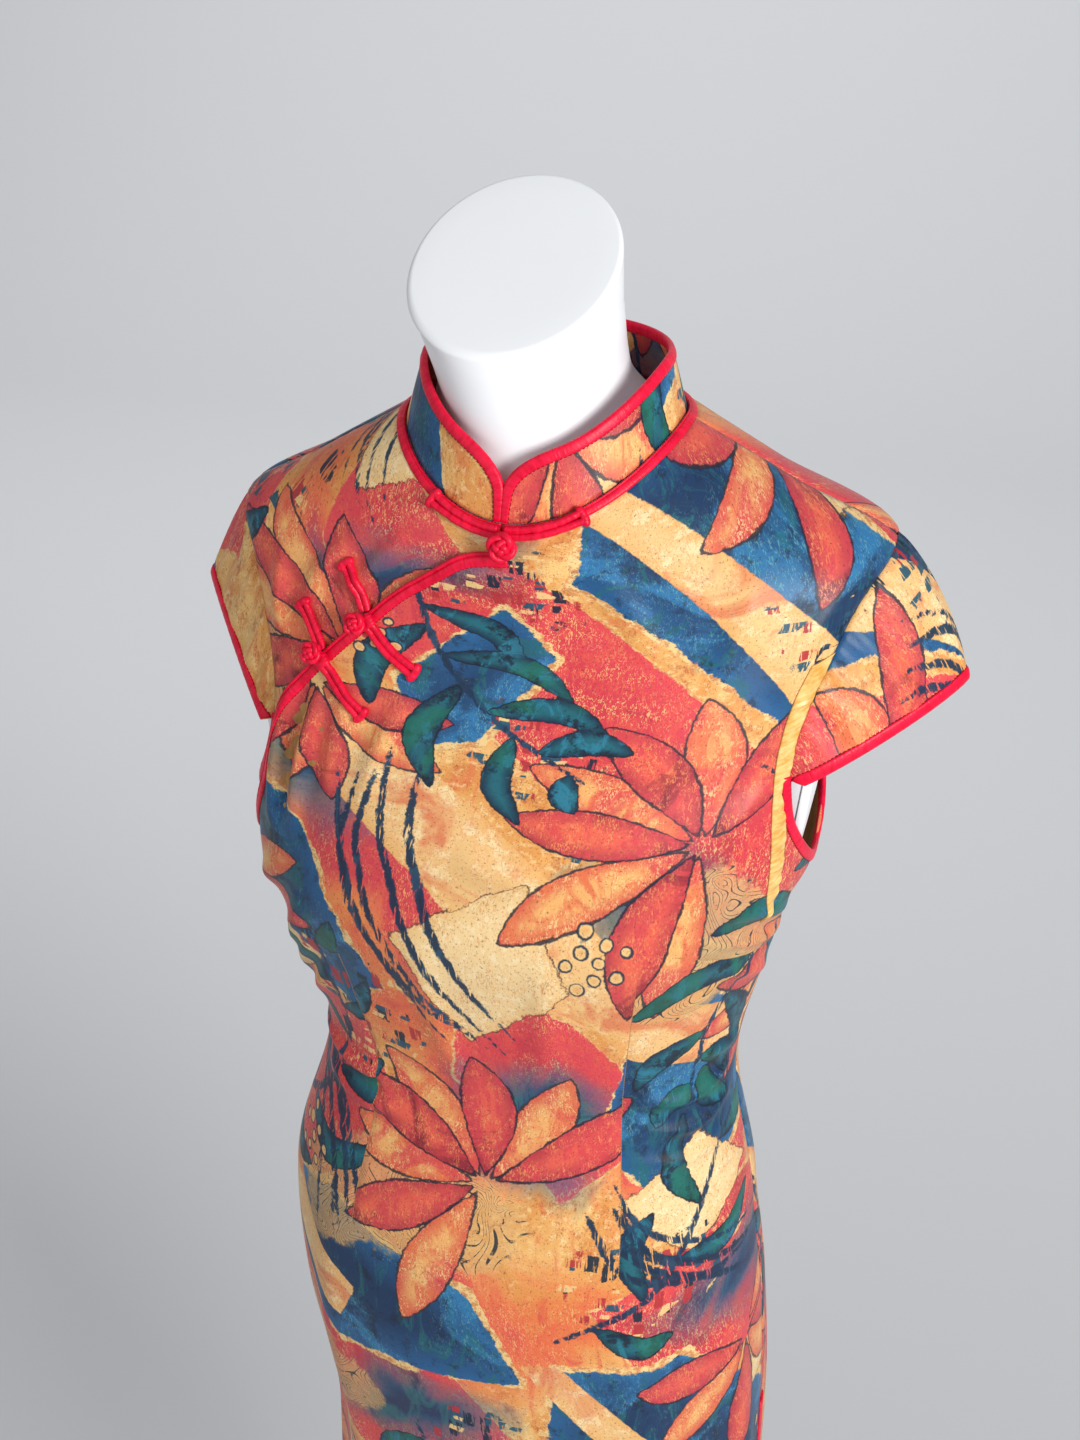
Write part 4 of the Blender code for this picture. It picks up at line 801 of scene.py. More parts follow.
@dataclass(frozen=True)
class LacqueredShell(Finish):
    """Glass-fibre moulding sprayed with white satin lacquer: smooth, with the faintest orange peel."""

    title: str = "white_lacquer"
    shade: str = "#F3F4F7"
    colour: str = "#F8F9FB"

    def dress(self, add: Callable[..., Node], shader: Node) -> None:
        """Builds the lacquer's slight waviness.

        Args:
            add: puts a node into the tree.
            shader: the shader.
        """
        place = add("TexCoord").outputs["Object"]
        peel = add("TexNoise", place, Scale=420, Detail=2)
        haze = add("TexNoise", place, Scale=14, Detail=3)
        add(shader, Base_Color=add("Mix", haze, self.shade, self.colour, **TINT), IOR=1.5, Coat_Weight=.15,
            Coat_Roughness=.25, Roughness=add("Math", haze, .12, .3, **SCALE_AND_ADD),
            Normal=add("Bump", Height=peel, Strength=.05, Distance=.0006))


@dataclass(frozen=True)
class BrushedSteel(Finish):
    """Stainless steel with a fine linished grain, which stretches its highlights across the grain."""

    title: str = "brushed_steel"
    grain: Triple = (900, 900, 14)      # marks a third of a mm across and 70 mm long

    def dress(self, add: Callable[..., Node], shader: Node) -> None:
        """Builds the brushed grain.

        Args:
            add: puts a node into the tree.
            shader: the shader.
        """
        place = add("TexCoord").outputs["Object"]
        lines = add("TexNoise", add("Mapping", place, Scale=self.grain), Scale=1.0, Detail=3, Roughness=.6)
        wear = add("TexNoise", place, Scale=22, Detail=4)
        add(shader, Base_Color=add("Mix", lines, "#A9ACB0", "#D3D5D8", **TINT), Metallic=1.0, Normal=add("Bump",
            Height=lines, Strength=.12, Distance=.0003), Roughness=add("Math", wear, .14, .22, **SCALE_AND_ADD))


@dataclass(frozen=True)
class SweepPaper(Finish):
    """The pale grey paper of the studio's floor and backdrop, quite matt."""

    title: str = "sweep_paper"
    colour: str = "#C1C2C4"

    def dress(self, add: Callable[..., Node], shader: Node) -> None:
        """Colours the paper."""
        add(shader, Base_Color=self.colour, Roughness=.9, Specular_IOR_Level=.1)


PRINT, PAPER = PrintedSatin(), SweepPaper()
CRIMSON = PlainSatin()
GOLD = PlainSatin("gold_satin", "#D79C48", "#F6D28A", .24, "run", .12)
LINING = PlainSatin("lining_satin", "#9E7040", "#B98A54", .48, "", .1)
# THREAD_AND_SEAM_SHADE: the stitches' dark crimson, the thread's colour darkened to paint the shade along the seams
# too
THREAD_AND_SEAM_SHADE = PlainSatin("crimson_thread", "#6E0319", "#8E0A25", .55, "", .1)
# JOINT_SHADOW: mid grey lacquer for the painted shadow line in the gap round each arm cap
LACQUER, JOINT_SHADOW = LacqueredShell(), LacqueredShell("joint_shadow", "#7E8186", "#8C8F94")
STEEL, TURNED_STEEL = BrushedSteel(), BrushedSteel("turned_steel", (60, 60, 900))


# ---- meshes
SOLIDS = set(bpy.data.objects.keys())


def outward(points: Array, faces: Faces) -> Faces:
    """The faces of a closed body, turned to point outwards.

    Args:
        points, faces: the body.

    Returns:
        The faces.
    """
    a, b, c = points[np.array([(f[0], f[k], f[k + 1]) for f in faces for k in range(1, len(f) - 1)]).T]
    turned = -1 if float((a * np.cross(b, c)).sum()) < 0 else 1
    return [tuple(int(i) for i in f[::turned]) for f in faces]


def seated(name: str, mesh: bpy.types.Mesh, stands_for: str = "") -> Piece:
    """Makes a mesh a piece that rides on its body.

    Args:
        name: the piece's name.
        mesh: its mesh.
        stands_for: the solid it stands for, if not the one of its own name.

    Returns:
        The piece.
    """
    piece = bpy.data.objects.new(name, mesh)
    bpy.context.collection.objects.link(piece)
    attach(piece, "root")
    if (stands_for or name) in SOLIDS:
        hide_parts(stands_for or name)
    LOG.info("%s: %d faces", name, len(mesh.polygons))
    return piece


def mapped(mesh: bpy.types.Mesh, title: str, chart: Array) -> None:
    """Gives a mesh a map.

    Args:
        mesh: the mesh.
        title: the map's name.
        chart: where each of its vertices lies, in metres.
    """
    corners = np.zeros(len(mesh.loops), dtype=np.int32)
    mesh.loops.foreach_get("vertex_index", corners)
    mesh.uv_layers.new(name=title).data.foreach_set("uv", chart[corners].astype(np.float32).ravel())


def add_piece(name: str, body: Body, finish: Finish, stands_for: str = "") -> Piece:
    """Makes a closed piece, its faces turned outwards.

    Args:
        name: its name.
        body: its points and faces, and its chart if it is a strip.
        finish: what it is made of.
        stands_for: as in seated.

    Returns:
        The piece.
    """
    points, faces, *charts = body
    mesh = bpy.data.meshes.new(name)
    mesh.from_pydata(points.tolist(), [], outward(points, faces))
    mesh.shade_smooth()
    mesh.materials.append(finish.material())
    for chart in charts:
        mapped(mesh, "run", chart)
    return seated(name, mesh, stands_for)


def lined(piece: Piece, first: int, last: int) -> None:
    """Gives the faces of a piece's inner wall the lining.

    Args:
        piece: the piece.
        first, last: the wall's first face and the one after its last.
    """
    piece.data.materials.append(LINING.material())
    wall = np.zeros(len(piece.data.polygons), dtype=np.int32)
    wall[first:last] = 1
    piece.data.polygons.foreach_set("material_index", wall)


def quads(rows: int, columns: int, ring: bool = False) -> Faces:
    """The faces of a grid of points, all wound the same way; in a ring each row closes on itself."""
    return [(r * columns + c, r * columns + (c + 1) % columns, (r + 1) * columns + (c + 1) % columns,
        (r + 1) * columns + c) for r in range(rows - 1) for c in range(columns if ring else columns - 1)]


def swept(sections: Array, closed: bool = False) -> Body:
    """A body made of sections one after another.

    Args:
        sections: each a closed row of points.
        closed: whether the last joins the first, and not a cap at each end.

    Returns:
        The body.
    """
    count, around = sections.shape[:2]
    girth = np.linalg.norm(np.roll(sections, -1, 1) - sections, axis=2).mean(0)
    across = np.concatenate([[0], np.cumsum(girth)[:-1]])
    chart = np.stack(np.meshgrid(gone(sections.mean(1)), across, indexing="ij"), -1).reshape(-1, 2)
    faces = quads(count, around, ring=True)
    last = (count - 1) * around
    after = [(c + 1) % around for c in range(around)]
    if closed:
        return sections.reshape(-1, 3), faces + [(last + c, last + d, d, c) for c, d in enumerate(after)], chart
    points = np.concatenate([sections.reshape(-1, 3), sections[[0, -1]].mean(1)])
    foot, head = len(points) - 2, len(points) - 1
    faces += [(foot, d, c) for c, d in enumerate(after)] + [(head, last + c, last + d) for c, d in enumerate(after)]
    return points, faces, np.concatenate([chart, chart[[0, -1]]])


def joined(bodies: Sequence[Body]) -> Body:
    """Several closed bodies as one, each with its faces turned outwards.

    Args:
        bodies: the bodies.

    Returns:
        The one body.
    """
    faces, base = [], 0
    for points, own, _ in bodies:
        faces += [tuple(base + i for i in f) for f in outward(points, own)]
        base += len(points)
    return np.concatenate([body[0] for body in bodies]), faces, np.concatenate([body[2] for body in bodies])


def walls(outer: Array, inner: Array) -> tuple[Array, Faces]:
    """A sheet of cloth as two grids of points, joined round their rim.

    Args:
        outer, inner: the grids of its two faces.

    Returns:
        Its points and faces, the outer wall first.
    """
    rows, columns = outer.shape[:2]
    count = rows * columns
    faces = quads(rows, columns)
    faces += [tuple(count + i for i in reversed(f)) for f in faces]
    rim = [*range(columns), *range(2 * columns - 1, count, columns), *range(count - 2, count - columns - 1, -1),
        *range(count - 2 * columns, 0, -columns)]
    faces += [(b, a, count + a, count + b) for a, b in zip(rim, rim[1:] + rim[:1])]
    return np.concatenate([outer.reshape(-1, 3), inner.reshape(-1, 3)]), faces


def unrolled(grid: Array) -> tuple[Array, Array, Array, float]:
    """A grid of cloth laid out flat.

    Args:
        grid: its points, from its seam outwards.

    Returns:
        How far each column is along the seam and each point from it, both as a chart, and the area.
    """
    along, away = gone(grid[0]), np.linalg.norm(grid - grid[0], axis=2)
    flat = np.stack([np.broadcast_to(along, away.shape), away], -1).reshape(-1, 2)
    return along, away, flat, float((np.diff(along) * (away[-1, 1:] + away[-1, :-1]) / 2).sum())


def frames(line: Array, out: Array, ring: bool = False) -> tuple[Array, Array, Array]:
    """Square frames along a line.

    Args:
        line: its points.
        out: roughly the way up at each.
        ring: whether it closes on itself.

    Returns:
        The ways along, aside and up.
    """
    along = unit(np.roll(line, -1, 0) - np.roll(line, 1, 0) if ring else np.gradient(line, axis=0))
    aside = unit(np.cross(along, out))
    return along, aside, np.cross(aside, along)


def rounds(line: Array, aside: Array, up: Array, wide: Array, tall: Array) -> Array:
    """Oval sections round a line, wide and tall being how far each of their points lies aside and up."""
    return line[:, None] + aside[:, None] * wide[..., None] + up[:, None] * tall[..., None]


# ---- folds
CREASES = {     # by side: three places as share and level, then height and width in mm
    FRONT: (
        # from the side frog down over the ribs, wearer's right
        (-.56, .8, -.6, .745, -.62, .69, 4.9, 6.1), (-.48, .792, -.51, .745, -.53, .7, 5.2, 4.9),
        (-.52, .796, -.555, .748, -.575, .695, -4, 4.5), (-.4, .8, -.42, .76, -.43, .72, 3.5, 6.6),
        # from the neck down beside the closing, wearer's right
        (-.36, .93, -.4, .9, -.47, .865, 3, 4.9), (-.5, .91, -.53, .88, -.57, .845, 3.2, 5.7),
        (-.66, .88, -.66, .85, -.64, .815, 3.5, 5.7),
        # from the bust's point to the waist, wearer's right
        (-.5, .655, -.62, .625, -.8, .588, 5.7, 7), (-.52, .632, -.66, .6, -.86, .562, 4.9, 5.7),
        (-.5, .606, -.62, .584, -.78, .556, 4, 5.7), (-.56, .676, -.7, .652, -.88, .628, 4, 6.6),
        # drag lines across the waist
        (-.86, .534, -.58, .528, -.34, .533, 4.4, 4.9), (-.78, .512, -.52, .507, -.3, .514, 3.5, 4.9),
        (.88, .541, .66, .533, .46, .54, 4.9, 4.9), (.9, .52, .7, .511, .48, .516, 4.1, 4.9),
        (.84, .498, .62, .49, .44, .498, 3, 5.3), (.92, .562, .78, .56, .6, .572, 3.2, 5.7),
        # beside the bust dart, wearer's left
        (.94, .637, .72, .65, .5, .662, 3, 3.4), (.9, .655, .72, .672, .56, .676, 3.7, 5.7),
        (.94, .604, .78, .622, .62, .636, 3.7, 5.7),
        # over the chest on the wearer's left, from the shoulder and the armhole
        (.78, .88, .66, .85, .58, .812, 3, 7.4), (.6, .905, .5, .872, .44, .83, 2.6, 7.8),
        (.62, .76, .54, .738, .47, .712, 3, 6.6), (.2, .925, .24, .89, .3, .85, 2.4, 8.2),
        (.02, .9, .03, .86, .05, .81, 2.2, 9), (-.12, .88, -.16, .84, -.18, .79, 2.6, 8.2),
        (-.24, .812, -.3, .77, -.33, .725, 3.5, 6.6), (-.08, .7, .02, .69, .14, .7, 2.6, 9),
        # below the bust and down the middle
        (-.16, .65, -.15, .6, -.12, .545, 3, 9), (.16, .65, .17, .6, .15, .55, 3, 9),
        # skirt
        (-.55, .43, -.58, .3, -.6, .08, 4.7, 16), (.42, .4, .46, .26, .5, .06, 4.4, 17),
        (.76, .38, .8, .24, .82, .04, 3.9, 13), (-.1, .3, -.08, .16, -.1, .02, 4.2, 20),
        (-.84, .33, -.86, .18, -.86, .03, 4.6, 12), (.16, .26, .2, .14, .19, .02, -3.1, 18)),
    BACK: (
        # back: across the waist, under the arms and between the shoulders
        (-.88, .54, -.56, .528, -.22, .536, 4.6, 7), (.88, .536, .52, .524, .18, .532, 4.2, 7),
        (-.8, .512, -.46, .502, -.1, .51, 3.5, 7), (.78, .508, .4, .496, .06, .506, 3.5, 7.5),
        (.6, .564, .3, .556, -.1, .562, 3.2, 8), (-.76, .7, -.52, .722, -.3, .76, 3.9, 10),
        (.78, .704, .54, .728, .32, .768, 3.9, 10), (.1, .915, .12, .86, .1, .79, 2.4, 12),
        (-.34, .89, -.38, .84, -.36, .79, 2.4, 11), (-.46, .42, -.5, .26, -.52, .04, 4.7, 17),
        (.36, .4, .42, .24, .44, .04, 4.7, 18), (.02, .32, 0, .16, .03, .02, 3.9, 20),
        (.8, .34, .84, .2, .84, .03, 3.4, 13), (-.82, .34, -.84, .2, -.85, .03, 3.4, 13))}


class Drape:
    """The folds of the whole dress, so that a binding or a cord rides over the same folds as the cloth below it."""

    BUST_LEVEL = .865          # above it the dress lies close on the form, with hardly any room for a hollow

    def __init__(self, figure: Figure) -> None:
        """Lays each fold's line over the figure.

        Args:
            figure: the figure.
        """
        self.figure = figure
        self.folds = []
        for side, rows in CREASES.items():
            for *places, height, width in rows:
                path = np.array([figure.place(side, s, v) for s, v in zip(places[::2], places[1::2])])
                line = figure.at(side, figure.spaced(side, flowing(path), .008))
                self.folds.append((height * MM, width * MM, line))

    def at(self, side: Side, path: Array) -> Array:
        """How far the folds lift the cloth.

        Args:
            side: FRONT or BACK.
            path: the path.

        Returns:
            The lift at each place.
        """
        points = self.figure.at(side, path)
        lift = np.zeros(len(path))
        for height, width, line in self.folds:
            reach = width * 2.6
            near = np.flatnonzero(((points > line.min(0) - reach) & (points < line.max(0) + reach)).all(1))
            if len(near):
                away, where = nearest_on(line, points[near])
                fade = np.sin(HALF_TURN * np.clip(where * .96 + .02, 0, 1)) ** .8
                lift[near] += height * fade * np.exp(-(away / width) ** 2)
        room = .0002 + .0024 * ease((self.BUST_LEVEL - path[:, 1]) / .05)
        return np.maximum(lift, -room)


# ---- cloth
@dataclass
class Panel:
    """One flat piece of the pattern, cut by its outline and laid over the figure as a thin lined shell.

    spacing is its mesh's at a level, lift how far its inner face stands off, shift its place on the print, seams
    the lines where the print is cut, and taken how much cloth the darts take in.
    """

    name: str
    side: Side
    outline: Array
    spacing: Callable[[Array], Array]
    lift: Lift
    shift: Pair
    seams: tuple[Array, ...] = ()
    taken: Callable[[Array], Array] = np.zeros_like
    edge_dip: float = .0004        # how far the face turns down in the last millimetre before the cut edge

    def filled(self, grain: float, border: Array) -> tuple[Array, Faces]:
        """Fills the outline with triangles.

        Args:
            grain: how much coarser than usual they are.
            border: the outline's points, which come first.

        Returns:
            The path of its points, and the triangles.
        """
        tree = kdtree.KDTree(len(border))
        for i, (x, y) in enumerate(border):
            tree.insert((x, y, 0), i)
        tree.balance()
        low, high = border.min(0), border.max(0)
        rows, level, odd = [], low[1], 0
        while level < high[1]:
            step = float(self.spacing(np.array([level]))[0]) * grain
            across = np.arange(low[0] + odd * step / 2, high[0], step)
            rows.append(np.stack([across, np.full_like(across, level)], 1))
            level += step * .866
            odd = 1 - odd
        grid = np.concatenate(rows)
        grid = grid[inside(border, grid)]
        wide = self.spacing(grid[:, 1]) * .6 * min(grain, 1.6)
        grid = grid[[tree.find((x, y, 0))[2] > w for (x, y), w in zip(grid, wide)]]
        for seam in self.seams if grain == 1.0 else ():     # close rows to both sides, so that the print is cut there
            run = unit(np.gradient(seam, axis=0))
            rows = np.concatenate([seam + run[:, ::-1] * (s, -s) for s in (.0002, -.0002)])
            rows = rows[[tree.find((x, y, 0))[2] > .0012 for x, y in rows]]
            grid = np.concatenate([grid[nearest_on(seam, grid)[0] > .0014], rows])
        places = [Vector(p) for p in np.concatenate([border, grid])]
        made = geometry.delaunay_2d_cdt(places, [], [list(range(len(border)))], 1, 1e-7)
        return np.array([tuple(p) for p in made[0]]), [tuple(t) for t in made[2]]

    def build(self, figure: Figure, design: "PrintDesign") -> None:
        """Makes the panel.

        Args:
            figure: what it lies on.
            design: its print.
        """
        border = self.border()
        count = len(border)
        (outer, outer_faces), (inner, inner_faces) = self.filled(1.0, border), self.filled(4.0, border)
        if len(outer) < count or np.abs(outer[:count] - border).max() > 1e-6:
            raise ValueError(f"{self.name}: its outline crosses itself")
        height = self.lift(outer) + CLOTH
        height[:count] -= self.edge_dip
        top, base = figure.at(self.side, outer, height), len(outer)
        points = np.concatenate([top, figure.at(self.side, inner, self.lift(inner) + CLEAR)])
        faces = [f[::-self.side] for f in outer_faces]
        faces += [tuple(base + i for i in f[::self.side]) for f in inner_faces]
        x, y = border.T
        area = float((x * np.roll(y, -1) - np.roll(x, -1) * y).sum()) / 2
        for i in range(count):
            j = (i + 1) % count
            faces.append((i, base + i, base + j, j) if (area > 0) == (self.side < 0) else (i, j, base + j, base + i))
        piece = add_piece(self.name, (points, faces), PRINT)
        lined(piece, len(outer_faces), len(outer_faces) + len(inner_faces))
        flat = np.concatenate([outer, inner])
        design.onto(piece, (flat + self.taken(flat)) * (-self.side, 1) + self.shift)

    def border(self) -> Array:
        """The outline with evenly spaced points, its corners kept.

        Returns:
            Its path.
        """
        wide = float(self.spacing(np.array([.8]))[0])
        out = []
        for a, b in zip(self.outline, np.roll(self.outline, -1, 0)):
            steps = max(1, round(float(np.linalg.norm(b - a)) / wide))
            out.append(a + (b - a) * np.linspace(0, 1, steps + 1)[:-1, None])
        ring = np.concatenate(out)
        return ring[np.linalg.norm(ring - np.roll(ring, 1, 0), axis=1) > wide * .25]


# ---- threads and cords by Geometry Nodes
class Run:
    """A node tree that turns a line of points into something that follows it."""

    title = "run"

    def tree(self, sizes: dict[str, float]) -> Tree:
        """Makes the tree on first use.

        Args:
            sizes: its inputs by name.

        Returns:
            The tree, with named inputs.
        """
        made = bpy.data.node_groups.get(self.title)
        if made:
            return made
        made = bpy.data.node_groups.new(self.title, "GeometryNodeTree")
        inputs = [("Geometry", "Geometry"), *((name, "Int" if name == "Seed" else "Float") for name in sizes),
            ("Finish", "Material")]
        for name, kind in inputs:
            made.interface.new_socket(name, in_out="INPUT", socket_type="NodeSocket" + kind)
        made.interface.new_socket("Geometry", in_out="OUTPUT", socket_type="NodeSocketGeometry")
        add = partial(put, made)
        entry = add("NodeGroupInput")
        smooth = add("SetShadeSmooth", add("RealizeInstances", self.shape(add, entry)))
        add("NodeGroupOutput", add("SetMaterial", smooth, Material=entry.outputs["Finish"]))
        return made

    def shape(self, add: Callable[..., Node], entry: Node) -> Node:
        """What follows the line."""
        raise NotImplementedError

    def along(self, name: str, lines: Sequence[tuple[Array, Array]], sizes: dict[str, float], finish: Finish,
            slot: str) -> Piece:
        """Makes the piece along some lines.

        Args:
            name: its name.
            lines: each line's points, and the way up at each.
            sizes: the tree's inputs by name.
            finish: its finish.
            slot: not used.

        Returns:
            The piece, as a plain mesh.
        """
        edges, base = [], 0
        for line, _ in lines:
            edges += [(base + i, base + i + 1) for i in range(len(line) - 1)]
            base += len(line)
        points, ups = (np.concatenate(part) for part in zip(*lines))
        mesh = bpy.data.meshes.new(name)
        mesh.from_pydata(points.tolist(), edges, [])
        mesh.attributes.new("up", "FLOAT_VECTOR", "POINT").data.foreach_set("vector", ups.astype(np.float32).ravel())
        carrier = bpy.data.objects.new(name + "_line", mesh)
        bpy.context.collection.objects.link(carrier)
        modifier = carrier.modifiers.new(self.title, "NODES")
        modifier.node_group = self.tree(sizes)
        values = {**sizes, "Finish": finish.material()}
        for item in modifier.node_group.interface.items_tree:
            if item.in_out == "INPUT" and item.name in values:
                modifier[item.identifier] = values[item.name]
        bpy.context.view_layer.update()
        made = bpy.data.meshes.new_from_object(carrier.evaluated_get(bpy.context.evaluated_depsgraph_get()))
        bpy.data.objects.remove(carrier)
        made.name = name
        return seated(name, made)


class StitchRun(Run):
    """Sewing stitches: one short capsule of thread at each pitch, turned along the seam."""

    title = "stitch_run"

    def shape(self, add: Callable[..., Node], entry: Node) -> Node:
        """Builds the stitches.

        Args:
            add: puts a node into the tree.
            entry: its input node.

        Returns:
            The node that gives them.
        """
        sizes = entry.outputs
        line = add("ResampleCurve", add("MeshToCurve", entry), Length=sizes["Pitch"], mode="LENGTH")
        run = add("FunctionNodeAlignRotationToVector", Vector=add("InputTangent"), axis="X")
        up = add("InputNamedAttribute", Name="up", data_type="FLOAT_VECTOR")
        turned = add("FunctionNodeAlignRotationToVector", Rotation=run, Vector=up, axis="Z", pivot_axis="X")
        drift = add("FunctionNodeRandomValue", .85, 1.1, data_type="FLOAT", Seed=sizes["Seed"])
        length = add("ShaderNodeMath", sizes["Length"], drift, **TIMES)
        size = add("ShaderNodeCombineXYZ", length, sizes["Thickness"], sizes["Thickness"])
        thread = add("MeshUVSphere", Segments=8, Rings=4, Radius=.5)
        return add("InstanceOnPoints", line, Instance=thread, Rotation=turned, Scale=size)


class CordRun(Run):
    """A round cord along a line."""

    title = "cord_run"

    def shape(self, add: Callable[..., Node], entry: Node) -> Node:
        """Builds the cord.

        Args:
            add: puts a node into the tree.
            entry: its input node.

        Returns:
            The node that gives it.
        """
        line = add("ResampleCurve", add("MeshToCurve", entry), Length=entry.outputs["Step"], mode="LENGTH")
        section = add("CurvePrimitiveCircle", Resolution=12, Radius=entry.outputs["Radius"])
        return add("CurveToMesh", line, Profile_Curve=section, Fill_Caps=True)


STITCHES, CORDS = StitchRun(), CordRun()


# ---- the print
class Motif:
    """One shape of the print in one ink, from sizes in millimetres over the repeat."""

    ink: Ink
    low: Array
    high: Array

    def depth(self, places: Array) -> Array:
        """How far inside its edge each place lies, in metres, and below zero outside it."""
        raise NotImplementedError


class Shard(Motif):
    """A patch with straight torn edges."""

    def __init__(self, ink: Ink, *corners: float) -> None:
        """Takes the patch's corners, one number after another."""
        self.ink, self.corners = ink, np.array(corners, float).reshape(-1, 2) * MM
        self.low, self.high = self.corners.min(0), self.corners.max(0)

    def depth(self, places: Array) -> Array:
        """Distance to the nearest side, positive inside."""
        ring = np.vstack([self.corners, self.corners[:1]])
        return nearest_on(ring, places)[0] * np.where(inside(self.corners, places), 1, -1)


class Blade(Motif):
    """A leaf, petal or stroke along a curved spine."""

    def __init__(self, ink: Ink, spine: Sequence[Array], half: float, belly: float, blunt: float) -> None:
        """Lays the spine down.

        Args:
            ink: its ink.
            spine: the spine's places.
            half: the half width at its belly.
            belly: how far along that is.
            blunt: how blunt the ends are.
        """
        self.ink, self.half, self.belly, self.blunt = ink, half * MM, belly, blunt
        self.line = flowing(np.array(spine, float) * MM, 5)
        self.low, self.high = self.line.min(0) - self.half, self.line.max(0) + self.half

    def depth(self, places: Array) -> Array:
        """Half width where each place lies along the spine, less its distance from it.

        Args:
            places: the places.

        Returns:
            Their depths.
        """
        away, where = nearest_on(self.line, places)
        share = where ** (math.log(.5) / math.log(self.belly))
        return self.half * np.sin(HALF_TURN * share) ** self.blunt - away


class Blot(Motif):
    """A round patch with a wandering edge."""

    def __init__(self, ink: Ink, wander: float, x: float, y: float, wide: float, tall: float, turn: float,
            seed: int) -> None:
        """Takes the sizes.

        Args:
            ink: its ink.
            wander: how much the edge wanders.
            x, y: the middle.
            wide, tall: the two radii.
            turn: the turn in degrees.
            seed: which of many.
        """
        self.ink, self.middle, self.radii = ink, np.array((x, y)) * MM, np.array((wide, tall)) * MM
        self.turn, self.wander, self.seed = math.radians(turn), wander, seed
        reach = max(self.radii) * (1 + wander)
        self.low, self.high = self.middle - reach, self.middle + reach

    def depth(self, places: Array) -> Array:
        """How far inside the ellipse each place is, its radius changing with the direction.

        Args:
            places: the places.

        Returns:
            Their depths.
        """
        c, s = math.cos(self.turn), math.sin(self.turn)
        x, y = (places - self.middle).T
        p, q = (c * x + s * y) / self.radii[0], (c * y - s * x) / self.radii[1]
        phase = np.random.default_rng(self.seed).random(4) * TURN
        angle = np.arctan2(q, p)
        edge = 1 + self.wander * sum(np.sin((k + 2) * angle + phase[k]) / (k + 1.5) for k in range(4))
        return (edge - np.hypot(p, q)) * min(self.radii)


def blossom(x: float, y: float, petals: int, length: float, half: float, start: float, sweep: float,
        seed: int) -> list[Motif]:
    """A fan of pointed petals in two alternating inks.

    Args:
        x, y: where they meet.
        petals: how many.
        length, half: the longest petal and half its width.
        start, sweep: where the fan starts and how far it turns, in degrees.
        seed: which of many.

    Returns:
        The petals.
    """
    rng = np.random.default_rng(seed)
    made = []
    for i in range(petals):
        turn = math.radians(start + sweep * (i + rng.uniform(-.18, .18)) / max(1, petals - 1))
        reach = length * rng.uniform(.72, 1.0)
        bend = rng.uniform(-.16, .22) * reach
        run, aside = np.array([math.cos(turn), math.sin(turn)]), np.array([-math.sin(turn), math.cos(turn)])
        spine = [(x, y) + run * reach * s + aside * bend * s * s for s in (.06, .4, .75, 1.0)]
        made.append(Blade(Ink.PETAL if i % 2 else Ink.PETAL_DEEP, spine, half, .55, .8))
    return made


def frond(leaves: int, length: float, half: float, seed: int, *stem: float) -> list[Motif]:
    """A stem with narrow leaves to both sides.

    Args:
        leaves: how many.
        length, half: the longest leaf and half its width.
        seed: which of many.
        stem: its line, one number after another.

    Returns:
        The stem and its leaves.
    """
    rng = np.random.default_rng(seed)
    spine = np.array(stem, float).reshape(-1, 2)
    line = flowing(spine)
    made = [Blade(Ink.STROKE, spine, 2.2, .35, .3)]
    for i in range(leaves):
        share = .12 + .84 * i / (leaves - 1)
        k = min(len(line) - 2, int(share * (len(line) - 1)))
        run = unit(line[k + 1] - line[k])
        aside = np.array([-run[1], run[0]]) * (1 if i % 2 else -1)
        reach = length * math.sin(HALF_TURN * (.2 + .7 * share)) * rng.uniform(.8, 1.0)
        tip, bow = line[k] + (run * .75 + aside * .66) * reach, line[k] + (run * .3 + aside * .5) * reach
        made.append(Blade(Ink.LEAF, [line[k], bow, tip], half * rng.uniform(.8, 1.1), .5, .7))
    return made


def reeds(ax: float, ay: float, bx: float, by: float, count: int, gap: float, bend: float, half: float,
        seed: int) -> list[Motif]:
    """Long brush strokes side by side.

    Args:
        ax, ay, bx, by: where the first starts and ends.
        count: how many.
        gap, bend: how far apart they are and how far each bows.
        half: half the thickest one's width.
        seed: which of many.

    Returns:
        The strokes.
    """
    rng = np.random.default_rng(seed)
    start, end = np.array((ax, ay), float), np.array((bx, by), float)
    run = unit(end - start)
    aside = np.array([run[1], -run[0]])
    made = []
    for i in range(count):
        a = start + aside * gap * i + run * rng.uniform(-12, 12)
        b = end + aside * gap * (i * rng.uniform(.4, 1.0)) + run * rng.uniform(-16, 8)
        bow = bend * rng.uniform(.6, 1.3)
        spine = [a + (b - a) * s + aside * bow * math.sin(HALF_TURN * s ** .8) for s in (0, .3, .65, 1.0)]
        made.append(Blade(Ink.STROKE, spine, half * rng.uniform(.7, 1.15), .4, .6))
    return made


def berries(x: float, y: float, count: int, spread: float, size: float, seed: int) -> list[Motif]:
    """A loose bunch of berries.

    Args:
        x, y: its middle.
        count: how many.
        spread, size: how far they lie apart, and a berry's radius.
        seed: which of many.

    Returns:
        The berries.
    """
    rng = np.random.default_rng(seed)
    made = []
    for i in range(count):
        turn, away = i * 2.4, spread * math.sqrt((i + .3) / count)
        radius = size * rng.uniform(.8, 1.1)
        made.append(Blot(Ink.BEAD, .05, x + away * math.cos(turn), y + away * math.sin(turn), radius, radius, 0,
            seed + i))
    return made


